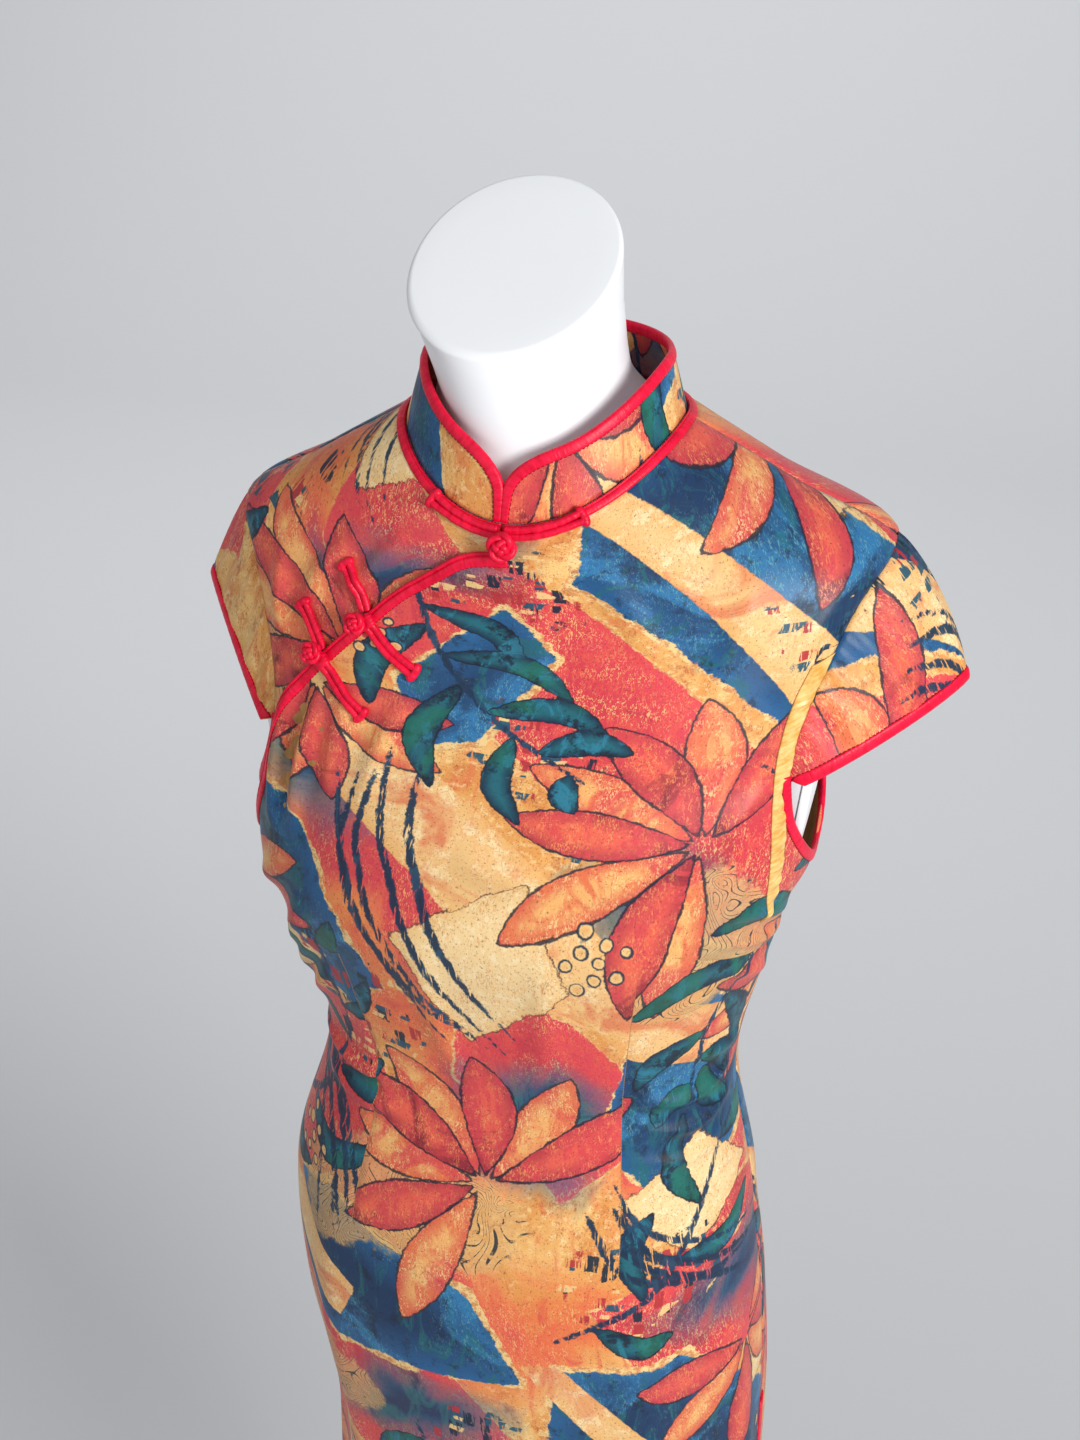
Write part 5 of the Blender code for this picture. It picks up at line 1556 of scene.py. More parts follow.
# The design's shapes, in millimetres over the repeat.
BLOTS = (   # ink, how much the edge wanders, then the middle, radii, turn and seed of each
    (Ink.ORANGE, .3, (286, 486, 80, 44, -40, 3), (430, 214, 66, 44, 20, 4), (150, 140, 64, 50, 10, 5),
     (524, 420, 54, 42, -30, 6), (240, 262, 50, 66, 30, 7), (60, 560, 60, 40, 0, 8), (350, 30, 84, 34, 10, 9)),
    (Ink.CORAL_HAZE, .3, (262, 330, 78, 50, -45, 11), (476, 128, 92, 60, -20, 12), (116, 470, 76, 54, -40, 13),
     (574, 250, 54, 70, 0, 14), (250, 20, 96, 46, 0, 15), (300, 176, 70, 46, 30, 41)),
    (Ink.BLUE_HAZE, .3, (196, 410, 56, 30, -42, 16), (402, 330, 48, 26, -40, 17), (84, 300, 46, 40, 0, 18),
     (520, 16, 66, 36, 0, 19), (250, 578, 44, 32, 20, 20), (330, 176, 50, 34, -30, 21)),
    (Ink.SCROLL, .25, (446, 300, 66, 48, -35, 31), (146, 566, 66, 48, 10, 32), (246, 96, 80, 46, 20, 33),
     (566, 96, 54, 62, 0, 34)),
    (Ink.BLOCK, .2, (336, 410, 70, 32, -45, 35), (226, 240, 44, 60, 10, 36), (478, 486, 60, 26, -45, 37),
     (420, 60, 66, 34, 10, 38), (100, 206, 46, 30, 0, 39), (300, 560, 50, 28, 0, 40)))
SHARDS = (   # ink, then the corners of each
    (Ink.CORAL, (150, 640, 268, 640, 335, 545, 432, 436, 540, 352, 520, 262, 402, 330, 296, 440, 188, 520),
     (60, 190, 150, 246, 232, 214, 262, 120, 196, 60, 92, 84), (455, 560, 520, 600, 572, 520, 506, 474),
     (372, 44, 470, 96, 566, 62, 540, -30, 420, -40), (20, 520, 104, 636, 150, 560, 92, 470, 40, 440),
     (300, 300, 356, 262, 410, 170, 352, 120, 286, 200)),
    (Ink.BLUE, (348, 640, 430, 640, 508, 540, 560, 470, 604, 380, 556, 352, 470, 420, 392, 500, 336, 560),
     (40, 380, 120, 420, 196, 352, 250, 262, 210, 232, 110, 300),
     (392, 252, 450, 262, 520, 200, 500, 120, 430, 110, 372, 180), (244, 470, 300, 540, 330, 500, 296, 430, 262, 420),
     (120, 40, 190, 90, 300, 50, 330, -20, 200, -30)),
    (Ink.BAND, (60, 520, 110, 560, 300, 380, 430, 262, 560, 190, 548, 160, 404, 226, 262, 340),
     (326, 640, 352, 640, 602, 330, 592, 312, 470, 430), (20, 120, 40, 150, 220, 20, 204, -10, 110, 40)),
    (Ink.PALE, (262, 300, 330, 336, 358, 282, 300, 236), (470, 560, 540, 640, 600, 600, 560, 540),
     (110, 250, 168, 300, 196, 262, 150, 216), (400, 120, 452, 150, 500, 96, 440, 70)))
BLOSSOMS = ((416, 372, 8, 128, 16, 60, 210, 11), (200, 452, 7, 104, 14, 160, 190, 12),
    (306, 128, 8, 126, 16, 20, 220, 13), (540, 236, 6, 104, 14, 90, 170, 14), (112, 300, 6, 96, 13, -10, 190, 15),
    (480, 612, 6, 100, 14, 180, 200, 16), (60, 30, 6, 100, 14, 30, 170, 17))
FRONDS = ((9, 84, 9, 21, 250, 570, 262, 510, 300, 450, 352, 408), (9, 88, 9, 22, 90, 60, 150, 120, 190, 200, 200, 290),
    (9, 84, 9, 23, 566, 340, 506, 306, 456, 246, 444, 176), (7, 76, 9, 24, 350, 20, 420, 60, 470, 130, 484, 196),
    (7, 76, 9, 25, 20, 470, 70, 440, 120, 380, 140, 320))
REEDS = ((262, 420, 330, 230, 5, 12, 26, 2.6, 51), (120, 210, 230, 60, 5, 11, -24, 2.8, 52),
    (400, 150, 520, 40, 5, 12, 22, 2.8, 53), (470, 440, 560, 300, 4, 12, -22, 2.6, 54),
    (160, 600, 210, 470, 4, 11, 20, 2.4, 55), (40, 340, 110, 200, 4, 11, 18, 2.6, 56))
BERRIES = ((370, 300, 9, 20, 3.6, 61), (232, 500, 8, 18, 3.4, 62), (160, 96, 9, 20, 3.6, 63),
    (520, 150, 9, 20, 3.6, 64))


@dataclass(frozen=True)
class PrintDesign:
    """A collage of torn patches, striped blossoms and fronds, which repeats with every other column dropped half."""

    ATTRIBUTES = ("inks_a", "inks_b", "inks_c", "inks_d")
    HAZES = (Ink.ORANGE, Ink.CORAL_HAZE, Ink.BLUE_HAZE, Ink.SCROLL, Ink.BLOCK)
    repeat: Pair = (.62, .64)
    reach: float = .05
    crisp_reach: float = .016

    def motifs(self) -> list[Motif]:
        """Every shape of one repeat.

        Returns:
            The shapes.
        """
        made = [Blot(ink, wander, *row) for ink, wander, *rows in BLOTS for row in rows]
        made += [Shard(ink, *row) for ink, *rows in SHARDS for row in rows]
        for make, rows in ((blossom, BLOSSOMS), (frond, FRONDS), (reeds, REEDS), (berries, BERRIES)):
            made += [motif for row in rows for motif in make(*row)]
        return made

    def onto(self, piece: Piece, places: Array) -> None:
        """Gives a piece the cloth's own map and the print's shapes.

        Args:
            piece: the piece.
            places: where each of its vertices lies on the flat cloth.
        """
        mapped(piece.data, "cloth", places)
        inks = np.full((len(places), 4 * len(self.ATTRIBUTES)), -self.reach)
        low, high = places.min(0), places.max(0)
        wide, tall = self.repeat
        for motif in self.motifs():
            margin = self.reach if motif.ink in self.HAZES else self.crisp_reach
            first = math.floor((low[0] - motif.high[0]) / wide)
            for column in range(first, math.ceil((high[0] - motif.low[0]) / wide) + 1):
                drop = tall / 2 * (column % 2)
                first = math.floor((low[1] - motif.high[1] - drop) / tall)
                for row in range(first, math.ceil((high[1] - motif.low[1] - drop) / tall) + 1):
                    shift = np.array([column * wide, row * tall + drop])
                    near = np.flatnonzero(((places > motif.low + shift - margin)
                        & (places < motif.high + shift + margin)).all(1))
                    if len(near):
                        depth = motif.depth(places[near] - shift)
                        inks[near, motif.ink] = np.maximum(inks[near, motif.ink], depth)
        inks = np.clip(inks, -self.reach, self.reach).astype(np.float32)
        for i, name in enumerate(self.ATTRIBUTES):
            layer = piece.data.attributes.new(name, "FLOAT_COLOR", "POINT")
            layer.data.foreach_set("color", inks[:, 4 * i:4 * i + 4].ravel())


# ---- the panels
DARTS = (   # from a share and a level to a share and a level, and how far it bows
    (.392, .405, .384, .65, .034), (-.44, .405, -.42, .64, -.02), (.975, .626, .44, .6545, 0),
    (-.975, .56, -.53, .645, 0))


@dataclass
class Panels:
    """Front with its flap, under-front and back.

    Sizes are in metres; fine and coarse are the front's mesh above and below the hips.
    """

    figure: Figure
    drape: Drape
    design: PrintDesign
    fine: float = .0025
    coarse: float = .005
    back_fine: float = .004
    back_coarse: float = .0055
    hips: float = .42
    flap_fade: float = .03
    corner_fade: float = .014
    dart_depth: float = .0011
    dart_half: float = .0022
    dart_swell: float = .009
    waist_dart: float = .022
    bust_dart: float = .026

    def __post_init__(self) -> None:
        """Draws the edges that the pieces share."""
        closing = self.figure.edge(FRONT, FLAP_EDGE, -1)
        self.closing = closing[:int(np.argmax(closing[:, 1] > FLAP_CORNER + 1e-5))]
        self.closing_line = self.figure.at(FRONT, self.figure.spaced(FRONT, self.closing, .006))
        self.stem = float(self.closing[-1, 0])
        self.darts = []
        for low_share, low, high_share, high, bow in DARTS:
            s = np.linspace(0, 1, 60)
            level = low + (high - low) * s
            share = low_share + (high_share - low_share) * s + bow * np.sin(s * HALF_TURN)
            self.darts.append(np.stack([share * self.figure.half(FRONT, level), level], 1))

    def flap_rise(self, path: Array) -> Array:
        """How far the flap stands off, because the under-front lies beneath it along the closing.

        Args:
            path: the places.

        Returns:
            The rise at each.
        """
        away = nearest_on(self.closing_line, self.figure.at(FRONT, path))[0]
        upward = np.clip((path[:, 1] - FLAP_CORNER) / self.corner_fade, 0, 1)
        return FLAP_RISE * (1 - ease((away - UNDERLAP - SEAM_STEP) / self.flap_fade)) * (1 - upward)

    def drawn_in(self, path: Array) -> Array:
        """How far the stitched darts draw the front in, with a soft swell to both sides of each.

        Args:
            path: the places.

        Returns:
            The depth at each.
        """
        points = self.figure.at(FRONT, path)
        drawn = np.zeros(len(path))
        for line in self.darts:
            away, where = nearest_on(self.figure.at(FRONT, line)[::4], points)
            fade = ease(where / .15) * ease((1 - where) / .25)
            swell = .75 * np.exp(-(away / self.dart_swell) ** 2)
            drawn += self.dart_depth * fade * (np.exp(-(away / self.dart_half) ** 2) - swell)
        return drawn

    def taken_in(self, path: Array) -> Array:
        """How much cloth the darts take in between the middle and each place.

        Args:
            path: the places.

        Returns:
            The lengths across and down the cloth.
        """
        x, level = path.T
        taken = np.zeros_like(path)
        for k, line in enumerate(self.darts):
            sign = np.sign(line[0, 0])
            if k < 2:
                here = np.interp(level, line[:, 1], line[:, 0])
                t = np.clip((level - line[0, 1]) / (line[-1, 1] - line[0, 1]), 0, 1)
                taken[:, 0] += sign * self.waist_dart * np.sin(HALF_TURN * t) * (sign * (x - here) > 0)
            else:
                across, down = sign * line[::-1, 0], line[::-1, 1]
                below = (sign * x > across[0]) & (level < np.interp(sign * x, across, down))
                t = np.clip((sign * x - across[0]) / (across[-1] - across[0]), 0, 1)
                taken[:, 1] -= self.bust_dart * t * below
        return taken

    def seam(self, side: Side, low: float, high: float, sign: int, count: int, slit: float = 0.0) -> Array:
        """A side or shoulder seam.

        Args:
            side: FRONT or BACK.
            low, high: the levels where it starts and ends.
            sign: 1 on the wearer's left, -1 on the right.
            count: how many points it has.
            slit: how far it has fallen back at the hem, if slit.

        Returns:
            Its path.
        """
        levels = np.linspace(low, high, count)
        back_off = SEAM / 2 + slit * np.clip((SLIT_TOP - levels) / SLIT_TOP, 0, 1) ** 1.3
        return np.stack([sign * (self.figure.half(side, levels) - back_off), levels], 1)

    def neck(self, side: Side, start: float, end: float) -> Array:
        """A panel's neck edge.

        Args:
            side: FRONT or BACK.
            start, end: the shares where it starts and ends.

        Returns:
            Its path.
        """
        path = []
        for share in np.linspace(start, end, max(3, round(abs(end - start) * 48))):
            level = self.figure.below_neck(side, share, PIPING_WIDTH * .8)
            half = float(self.figure.half(side, level))
            path.append((float(np.clip(share * half, SEAM / 2 - half, half - SEAM / 2)), level))
        return np.array(path)

    def skirt_edge(self, side: Side) -> Array:
        """Down one slit, along the hem and up the other.

        Args:
            side: FRONT or BACK.

        Returns:
            The path, from the wearer's right to left.
        """
        right, left = (self.seam(side, 0, SLIT_TOP - .004, sign, 40, SLIT_SPREAD) for sign in (-1, 1))
        hem = np.stack([np.linspace(right[0, 0], left[0, 0], 90), np.zeros(90)], 1)[1:-1]
        return np.concatenate([right[::-1], hem, left])

    def shoulder(self, side: Side, neck: float, sign: int) -> Array:
        """The shoulder seam, from the armhole up to where the neck edge starts."""
        return self.seam(side, SHOULDER_POINT + .001, neck - .001, sign, 12)

    def front_spacing(self, level: Array) -> Array:
        """The front's mesh, finer above the hips."""
        return self.fine + (self.coarse - self.fine) * ease((self.hips - level) / .08)

    def back_spacing(self, level: Array) -> Array:
        """The back's mesh."""
        return self.back_fine + (self.back_coarse - self.back_fine) * ease((self.hips - level) / .08)

    def front_lift(self, path: Array) -> Array:
        """How far the front's inner face stands off the figure."""
        return self.drape.at(FRONT, path) + self.flap_rise(path) - self.drawn_in(path)

    def front(self) -> Panel:
        """The front, with the flap that closes over to the wearer's right.

        Returns:
            The panel.
        """
        figure, armpit = self.figure, UNDERARM - SEAM_STEP
        neck = self.neck(FRONT, 1.0, self.stem / float(figure.half(FRONT, .955)))
        stem = np.stack([np.full(8, self.stem), np.linspace(FLAP_CORNER, neck[-1, 1] - .001, 8)], 1)
        outline = np.concatenate([self.skirt_edge(FRONT), self.seam(FRONT, SLIT_TOP, armpit, 1, 60),
            figure.edge(FRONT, ARMHOLE, 1)[1:], self.shoulder(FRONT, neck[0, 1], 1), neck, stem[::-1],
            self.closing[::-1][1:], self.seam(FRONT, SLIT_TOP, FLAP_EDGE[0][0] - SEAM_STEP, -1, 60)[::-1]])
        return Panel("front_panel", FRONT, outline, self.front_spacing, self.front_lift, (.31, -.35),
            tuple(figure.spaced(FRONT, line, .0012) for line in self.darts), self.taken_in)

    def under_front(self) -> Panel:
        """The under-front, which runs on beneath the flap and up to the neck's centre.

        Returns:
            The panel.
        """
        figure = self.figure
        lap = figure.aside(FRONT, self.closing, UNDERLAP)
        foot = FLAP_EDGE[0][0] - .012
        lap = lap[(lap[:, 1] > foot + .003) & (lap[:, 1] < .916)]
        neck = self.neck(FRONT, -1.0, -CENTRE_SHARE - .012)
        centre = float(neck[-1, 0])
        lap = np.concatenate([lap, [(centre + .0085, .926), (centre + .005, .933), (centre, FLAP_CORNER + .001),
            (centre, neck[-1, 1] - .002)]])
        outline = np.concatenate([self.seam(FRONT, foot, UNDERARM - SEAM_STEP, -1, 8),
            figure.edge(FRONT, ARMHOLE, -1)[1:], self.shoulder(FRONT, neck[0, 1], -1), neck, lap[::-1]])
        return Panel("under_front", FRONT, outline, self.front_spacing, partial(self.drape.at, FRONT), (.4, -.06))

    def back(self) -> Panel:
        """The back, in one piece.

        Returns:
            The panel.
        """
        neck = self.neck(BACK, 1.0, -1.0)
        half = np.concatenate([self.seam(BACK, SLIT_TOP, UNDERARM - SEAM_STEP, 1, 60),
            self.figure.edge(BACK, ARMHOLE, 1)[1:], self.shoulder(BACK, neck[0, 1], 1)])
        outline = np.concatenate([self.skirt_edge(BACK), half, neck[1:-1], half[::-1] * (-1, 1)])
        return Panel("back_panel", BACK, outline, self.back_spacing, partial(self.drape.at, BACK), (.11, .27))

    def build(self) -> None:
        """Makes the three panels, and along the darts brown stitches that stand for the seams and their painted shade.
        """
        for panel in (self.front(), self.under_front(), self.back()):
            panel.build(self.figure, self.design)
        lines = []
        for line in self.darts:
            line = self.figure.spaced(FRONT, line[4:-4], .0015)
            place = self.figure.at(FRONT, line, self.front_lift(line) + CLOTH - CLEAR)
            lines.append((place, self.figure.normal(FRONT, line)))
        # the lining's brown makes these stitches also a painted shade line along each dart seam
        STITCHES.along("dart_seams", lines, {"Pitch": .0021, "Length": .0023, "Thickness": .0006, "Seed": 3}, LINING,
            "print")


# ---- bindings
# Sections as (share of the way from the outer line to the inner one, height above the cloth in millimetres).
FLAP_PROFILE = ((-.14, -1), (-.18, -.1), (-.15, .6), (-.06, 1), (.04, 1.1), (.12, .8), (.155, .1), (.185, .1),
    (.22, .7), (.3, 1.1), (.45, 1.3), (.62, 1.3), (.8, 1.2), (.91, 1), (.97, .6), (1, 0), (1, -.6), (.5, -.7), (0, -1))
HEM_PROFILE = ((-.09, -1.8), (-.16, -1), (-.17, 0), (-.12, .8), (.02, 1.2), (.22, 1.4), (.45, 1.3), (.68, 1.2),
    (.86, 1), (.96, .6), (1, -.2), (.9, -.6), (.4, -.6), (0, -1.8))
PIPING_PROFILE = ((1.06, -.4), (1.05, .5), (1, 1.4), (.92, 1.9), (.75, 2.2), (.5, 2.3), (.33, 2.2), (.26, 1.9),
    (.21, 1.5), (.16, 1.9), (.1, 2.1), (.03, 1.6), (-.02, .6), (.04, -.4), (.5, -.6))
STRIP_EDGE = (      # the gold facing's inner edge, as (level, share)
    (.668, .708), (.684, .684), (.7025, .664), (.735, .633), (.76, .617), (.78, .617), (.8, .625), (.8175, .642),
    (.835, .672))
STITCH = {"Pitch": .0024, "Length": .0019, "Thickness": .0005, "Seed": 7}


@dataclass(frozen=True)
class Bindings:
    """Bias-cut satin sewn along the free edges, each a soft roll with the small puckers of its stitching."""

    figure: Figure
    drape: Drape
    pucker: float = .00011
    pucker_pitch: float = .007
    roll: float = .0011
    swell: float = .07             # how much the puckers thicken a rolled binding
    beyond: float = .0013          # how far a rolled binding reaches beyond the edge
    armhole_width: float = .0052
    strip_width: float = .0094

    def made(self, name: str, sections: Sequence[Array], line: Array, up: Array) -> None:
        """Makes a binding from its sections and, along a line on it, the stitches that hold it down, dark enough to
        stand also as painted shade in the seam.
        """
        STITCHES.along(name + "_stitches", [(line, up)], STITCH, THREAD_AND_SEAM_SHADE, "red")
        add_piece(name, swept(np.array(sections).transpose(1, 0, 2)), CRIMSON)

    def band(self, name: str, side: Side, outer: Array, inner: Array, profile: Sequence[Pair], lift: Lift,
            seed: int) -> None:
        """A band that lies on the cloth between two lines.

        Args:
            name: its name.
            side: FRONT or BACK.
            outer, inner: the paths of its edges, point for point.
            profile: its section.
            lift: how far the cloth stands off.
            seed: which puckers it has.
        """
        puckers = ripple(gone(self.figure.at(side, outer)), self.pucker_pitch, seed) * self.pucker
        sections = []
        for share, height in profile:
            path = outer + (inner - outer) * share
            height = height * MM + min(max(height, 0), 1) * puckers
            sections.append(self.figure.at(side, path, lift(path) + CLOTH + height))
        line = self.figure.at(side, inner, lift(inner) + CLOTH + CLEAR)
        self.made(name, sections, line, self.figure.normal(side, inner))

    def rolled(self, name: str, edge: Array, out: Array, into: Array, wall: float, width: Array | float, seed: int,
            slim: float = 1.0) -> None:
        """A binding folded over an edge of cloth.

        Args:
            name: its name.
            edge: the edge, along the wall's inner face.
            out, into: the ways out of the cloth's face and from the edge into the cloth.
            wall: the cloth's thickness.
            width: how far it reaches over the cloth.
            seed: which puckers it has.
            slim: its thickness as a share of the usual.
        """
        width = np.broadcast_to(width, len(edge)).astype(float)
        into = unit(into - out * (into * out).sum(1, keepdims=True))
        puckers = 1 + self.swell * ripple(gone(edge), self.pucker_pitch, seed)
        beyond = self.beyond * slim
        sections = []
        for k, x in enumerate(np.cos(np.linspace(0, TURN, 29)[:-1])):
            outside = k < 15
            full = math.sqrt(max(0.0, 1 - abs(x) ** (2.8 if x < 0 else 5)))
            roll = self.roll * slim * (.9 if outside else .76)
            if x < 0:
                height = wall / 2 + (wall / 2 + roll) * (full if outside else -full)
            else:
                height = wall + (roll + CLEAR) * full if outside else -roll * full
            reach = (width - beyond) / 2 + x * (width + beyond) / 2
            swell = np.where(height > wall / 2, wall / 2 + (height - wall / 2) * puckers, height)
            sections.append(edge + into * reach[:, None] + out * swell[:, None])
        self.made(name, sections, edge + into * (width + CLEAR)[:, None] + out * (wall + 2 * CLEAR), out)

    def closing(self, panels: Panels) -> None:
        """The binding of the closing edge, mitred where it turns up to the collar.

        Args:
            panels: what it is sewn to.
        """
        figure = self.figure
        outer = figure.spaced(FRONT, panels.closing, .002)
        inner = figure.aside(FRONT, outer, BINDING_WIDTH)
        top = figure.below_neck(FRONT, 0, PIPING_WIDTH * .85)
        rise = np.linspace(0, 1, 12)[1:]
        stem_out = np.stack([np.full(11, outer[-1, 0]), FLAP_CORNER + (top - FLAP_CORNER) * rise], 1)
        corner = np.array([outer[-1, 0] + BINDING_WIDTH * .86, inner[-1, 1]])
        keep = inner[:, 0] < corner[0]
        keep[:-6] = True
        inner[~keep] = inner[-1] = corner
        stem_in = np.stack([np.full(11, corner[0]), corner[1] + (top - corner[1]) * rise], 1)
        self.band("flap_binding", FRONT, np.concatenate([outer, stem_out]), np.concatenate([inner, stem_in]),
            FLAP_PROFILE, panels.front_lift, 3)

    def skirt(self, panels: Panels, side: Side, name: str, lift: Lift) -> None:
        """The binding of one half's two slit edges and hem, mitred at the corners.

        Args:
            panels: what it is sewn to.
            side: FRONT or BACK.
            name: its name.
            lift: how far the cloth stands off.
        """
        edge = self.figure.spaced(side, panels.skirt_edge(side), .0035)
        across, level = edge.T
        low = np.flatnonzero(level < 1e-6)
        inner = np.stack([across - np.sign(across) * BINDING_WIDTH, np.maximum(level, BINDING_WIDTH)], 1)
        inner[low, 0] = np.clip(across[low], inner[low[0], 0], inner[low[-1], 0])
        self.band(name, side, edge, inner, HEM_PROFILE, lift, 5 + side)

    def armhole(self, sign: int, name: str) -> None:
        """The binding round the underarm, from the front end of the sleeve to its back end.

        Args:
            sign: 1 on the wearer's left, -1 on the right.
            name: its name.
        """
        figure, halves = self.figure, []
        for side in (FRONT, BACK):
            path = figure.edge(side, ARMHOLE, 1)
            path = figure.spaced(side, path[path[:, 1] < SLEEVE_START + .004], .0022)
            inward = figure.aside(side, path, -.004) * (sign, 1)
            path = path * (sign, 1)
            lift = self.drape.at(side, path)
            place = figure.at(side, path, lift)
            way = figure.at(side, inward, lift) - place
            way[0] = (0, 0, -.004)
            turn = slice(None, None, -1) if side == FRONT else slice(1, None)
            halves.append((place[turn], figure.normal(side, path)[turn], way[turn]))
        edge, out, into = (np.concatenate(parts) for parts in zip(*halves))
        self.rolled(name, edge, relax(out, 3, 1, vectors=True), relax(into, 3, 1), CLOTH, self.armhole_width, 9 + sign)

    def strip(self, panels: Panels) -> None:
        """The gold satin facing that shows along the wearer's left front armhole, drawn into soft puckers.

        Args:
            panels: what it is sewn to.
        """
        figure = self.figure
        levels, shares = np.array(STRIP_EDGE).T
        level = np.arange(levels[0], levels[-1], .0014)
        half = figure.half(FRONT, level)
        edge = np.interp(level,
            *np.array(ARMHOLE).T) * half - self.armhole_width * ease((SLEEVE_START + .004 - level) / .004)
        inner = relax(np.interp(level, levels, shares) * half, 8)
        wide = self.strip_width * ease((level - levels[0]) / .02)
        outer = np.where(level < .745, np.minimum(edge, inner + wide), edge)
        place = gone(figure.at(FRONT, np.stack([outer, level], 1)))
        sections = []
        for share in (*np.linspace(0, 1, 15), .5):
            spot = np.stack([outer + (inner - outer) * share, level - .004 * share], 1)
            drawn = .0015 * ripple(place + .001 * share, .012, 21) + .0004 * ripple(place, .006, 23)
            drawn *= math.exp(-(share / .55) ** 2)
            height = .0002 + (.0012 + drawn) * math.sin(HALF_TURN * min(share + .02, 1)) ** .5
            if len(sections) == 15:
                height = -.0007        # the last point closes the section below
            sections.append(figure.at(FRONT, spot, panels.front_lift(spot) + CLOTH + height))
        add_piece("armhole_strip", swept(np.array(sections).transpose(1, 0, 2)), GOLD)


# ---- sleeves
def facing(grid: Array, out: Array) -> Array:
    """The normals of a grid of cloth, on the side that out points to."""
    normal = np.cross(np.gradient(grid, axis=1), np.gradient(grid, axis=0))
    return unit(normal) * np.sign((normal * out).sum(2).mean())


@dataclass(frozen=True)
class Sleeve:
    """A cap sleeve.

    Its hem runs from the front of the armhole over the tip to the back: half an ellipse where hem_power is 1 and
    two straight lines where it is 2. fullness is how far the cap swells above a straight fall.
    """

    name: str
    sign: int
    tip: Triple
    hem_power: float
    fullness: float
    shift: Pair
    seed: int
    rows: int = 26
    pucker: float = .001
    root_length: float = .0065

    def surface(self, figure: Figure) -> tuple[Array, Array]:
        """The sleeve's inner face.

        Args:
            figure: what the armhole lies on.

        Returns:
            A grid of points, from the seam out to the hem and from front to back, and its normals.
        """
        halves = []
        for side in (FRONT, BACK):
            path = figure.edge(side, ARMHOLE, 1)
            path = figure.spaced(side, path[path[:, 1] >= SLEEVE_START], .0024)
            base = figure.aside(side, path, 2 * SEAM)
            base[-1] = figure.place(side, 1.0, path[-1, 1])
            base, path = base * (self.sign, 1), path * (self.sign, 1)
            place = figure.at(side, base)
            turn = slice(None) if side == FRONT else slice(-2, None, -1)
            halves.append((place[turn], (place - figure.at(side, path))[turn], figure.normal(side, base)[turn]))
        roots, ahead, upright = (np.concatenate(parts) for parts in zip(*halves))
        ahead = relax(unit(ahead), 4, 1, vectors=True)
        along = gone(relax(roots, 4))
        turn = along / along[-1] * HALF_TURN
        middle, out_share = (roots[0] + roots[-1]) / 2, np.sin(turn) ** self.hem_power
        hem = middle + np.outer(rounded(np.cos(turn), self.hem_power), (roots[0] - roots[-1]) / 2)
        hem += np.outer(out_share, self.tip - middle)
        hem += np.outer(1 - out_share, (self.sign * self.root_length, 0, -.3 * self.root_length))
        fall = relax(hem, 6) - roots
        length = np.linalg.norm(fall, axis=1)[:, None]
        swell = .25 * ahead + .75 * np.array([self.sign * .84, 0, -.4])
        bulge = roots + unit(self.fullness * swell + (1 - self.fullness) * fall / length) * length / 2
        s = np.linspace(0, 1, self.rows)[:, None, None]
        grid = (1 - s) ** 2 * roots + 2 * s * (1 - s) * bulge + s * s * hem
        normal = facing(grid, np.array([self.sign, 0, 1.0]))
        relax(normal.swapaxes(0, 1), 3, 1, vectors=True)
        away = np.linalg.norm(grid - roots, axis=2)[..., None]
        return grid, unit(normal + upright * 1.5 * np.exp(-away / .004))

    def build(self, figure: Figure, bindings: Bindings, design: PrintDesign) -> None:
        """Makes the sleeve and the binding over its hem.

        Args:
            figure: what the armhole lies on.
            bindings: what makes the binding.
            design: the print.
        """
        grid, normal = self.surface(figure)
        along, away, flat, area = unrolled(grid)
        eased = ripple(along, .0085, self.seed) * np.sin(np.linspace(0, HALF_TURN, len(along))) ** .5
        lift = self.pucker * eased * np.exp(-((away - .004) / .012) ** 2) - .0007 * np.exp(-away / .003)
        lift += .0016 * ripple(along, .034, self.seed + 1) * ease(away / .02) * ease((away[-1] - away) / .012)
        outer, inner = (grid + normal * height[..., None] for height in (CLOTH + lift, np.minimum(lift, .0004)))
        piece = add_piece(f"sleeve_{self.name}", walls(outer, inner), PRINT)
        wall = (self.rows - 1) * (len(along) - 1)
        lined(piece, wall, 2 * wall)
        design.onto(piece, np.concatenate([flat, flat]) * (self.sign, -1) + self.shift)
        bindings.rolled(f"sleeve_binding_{self.name}", grid[-1], normal[-1], grid[-3] - grid[-1], CLOTH,
            np.minimum(BINDING_WIDTH, away[-1] * .8), self.seed + 4)


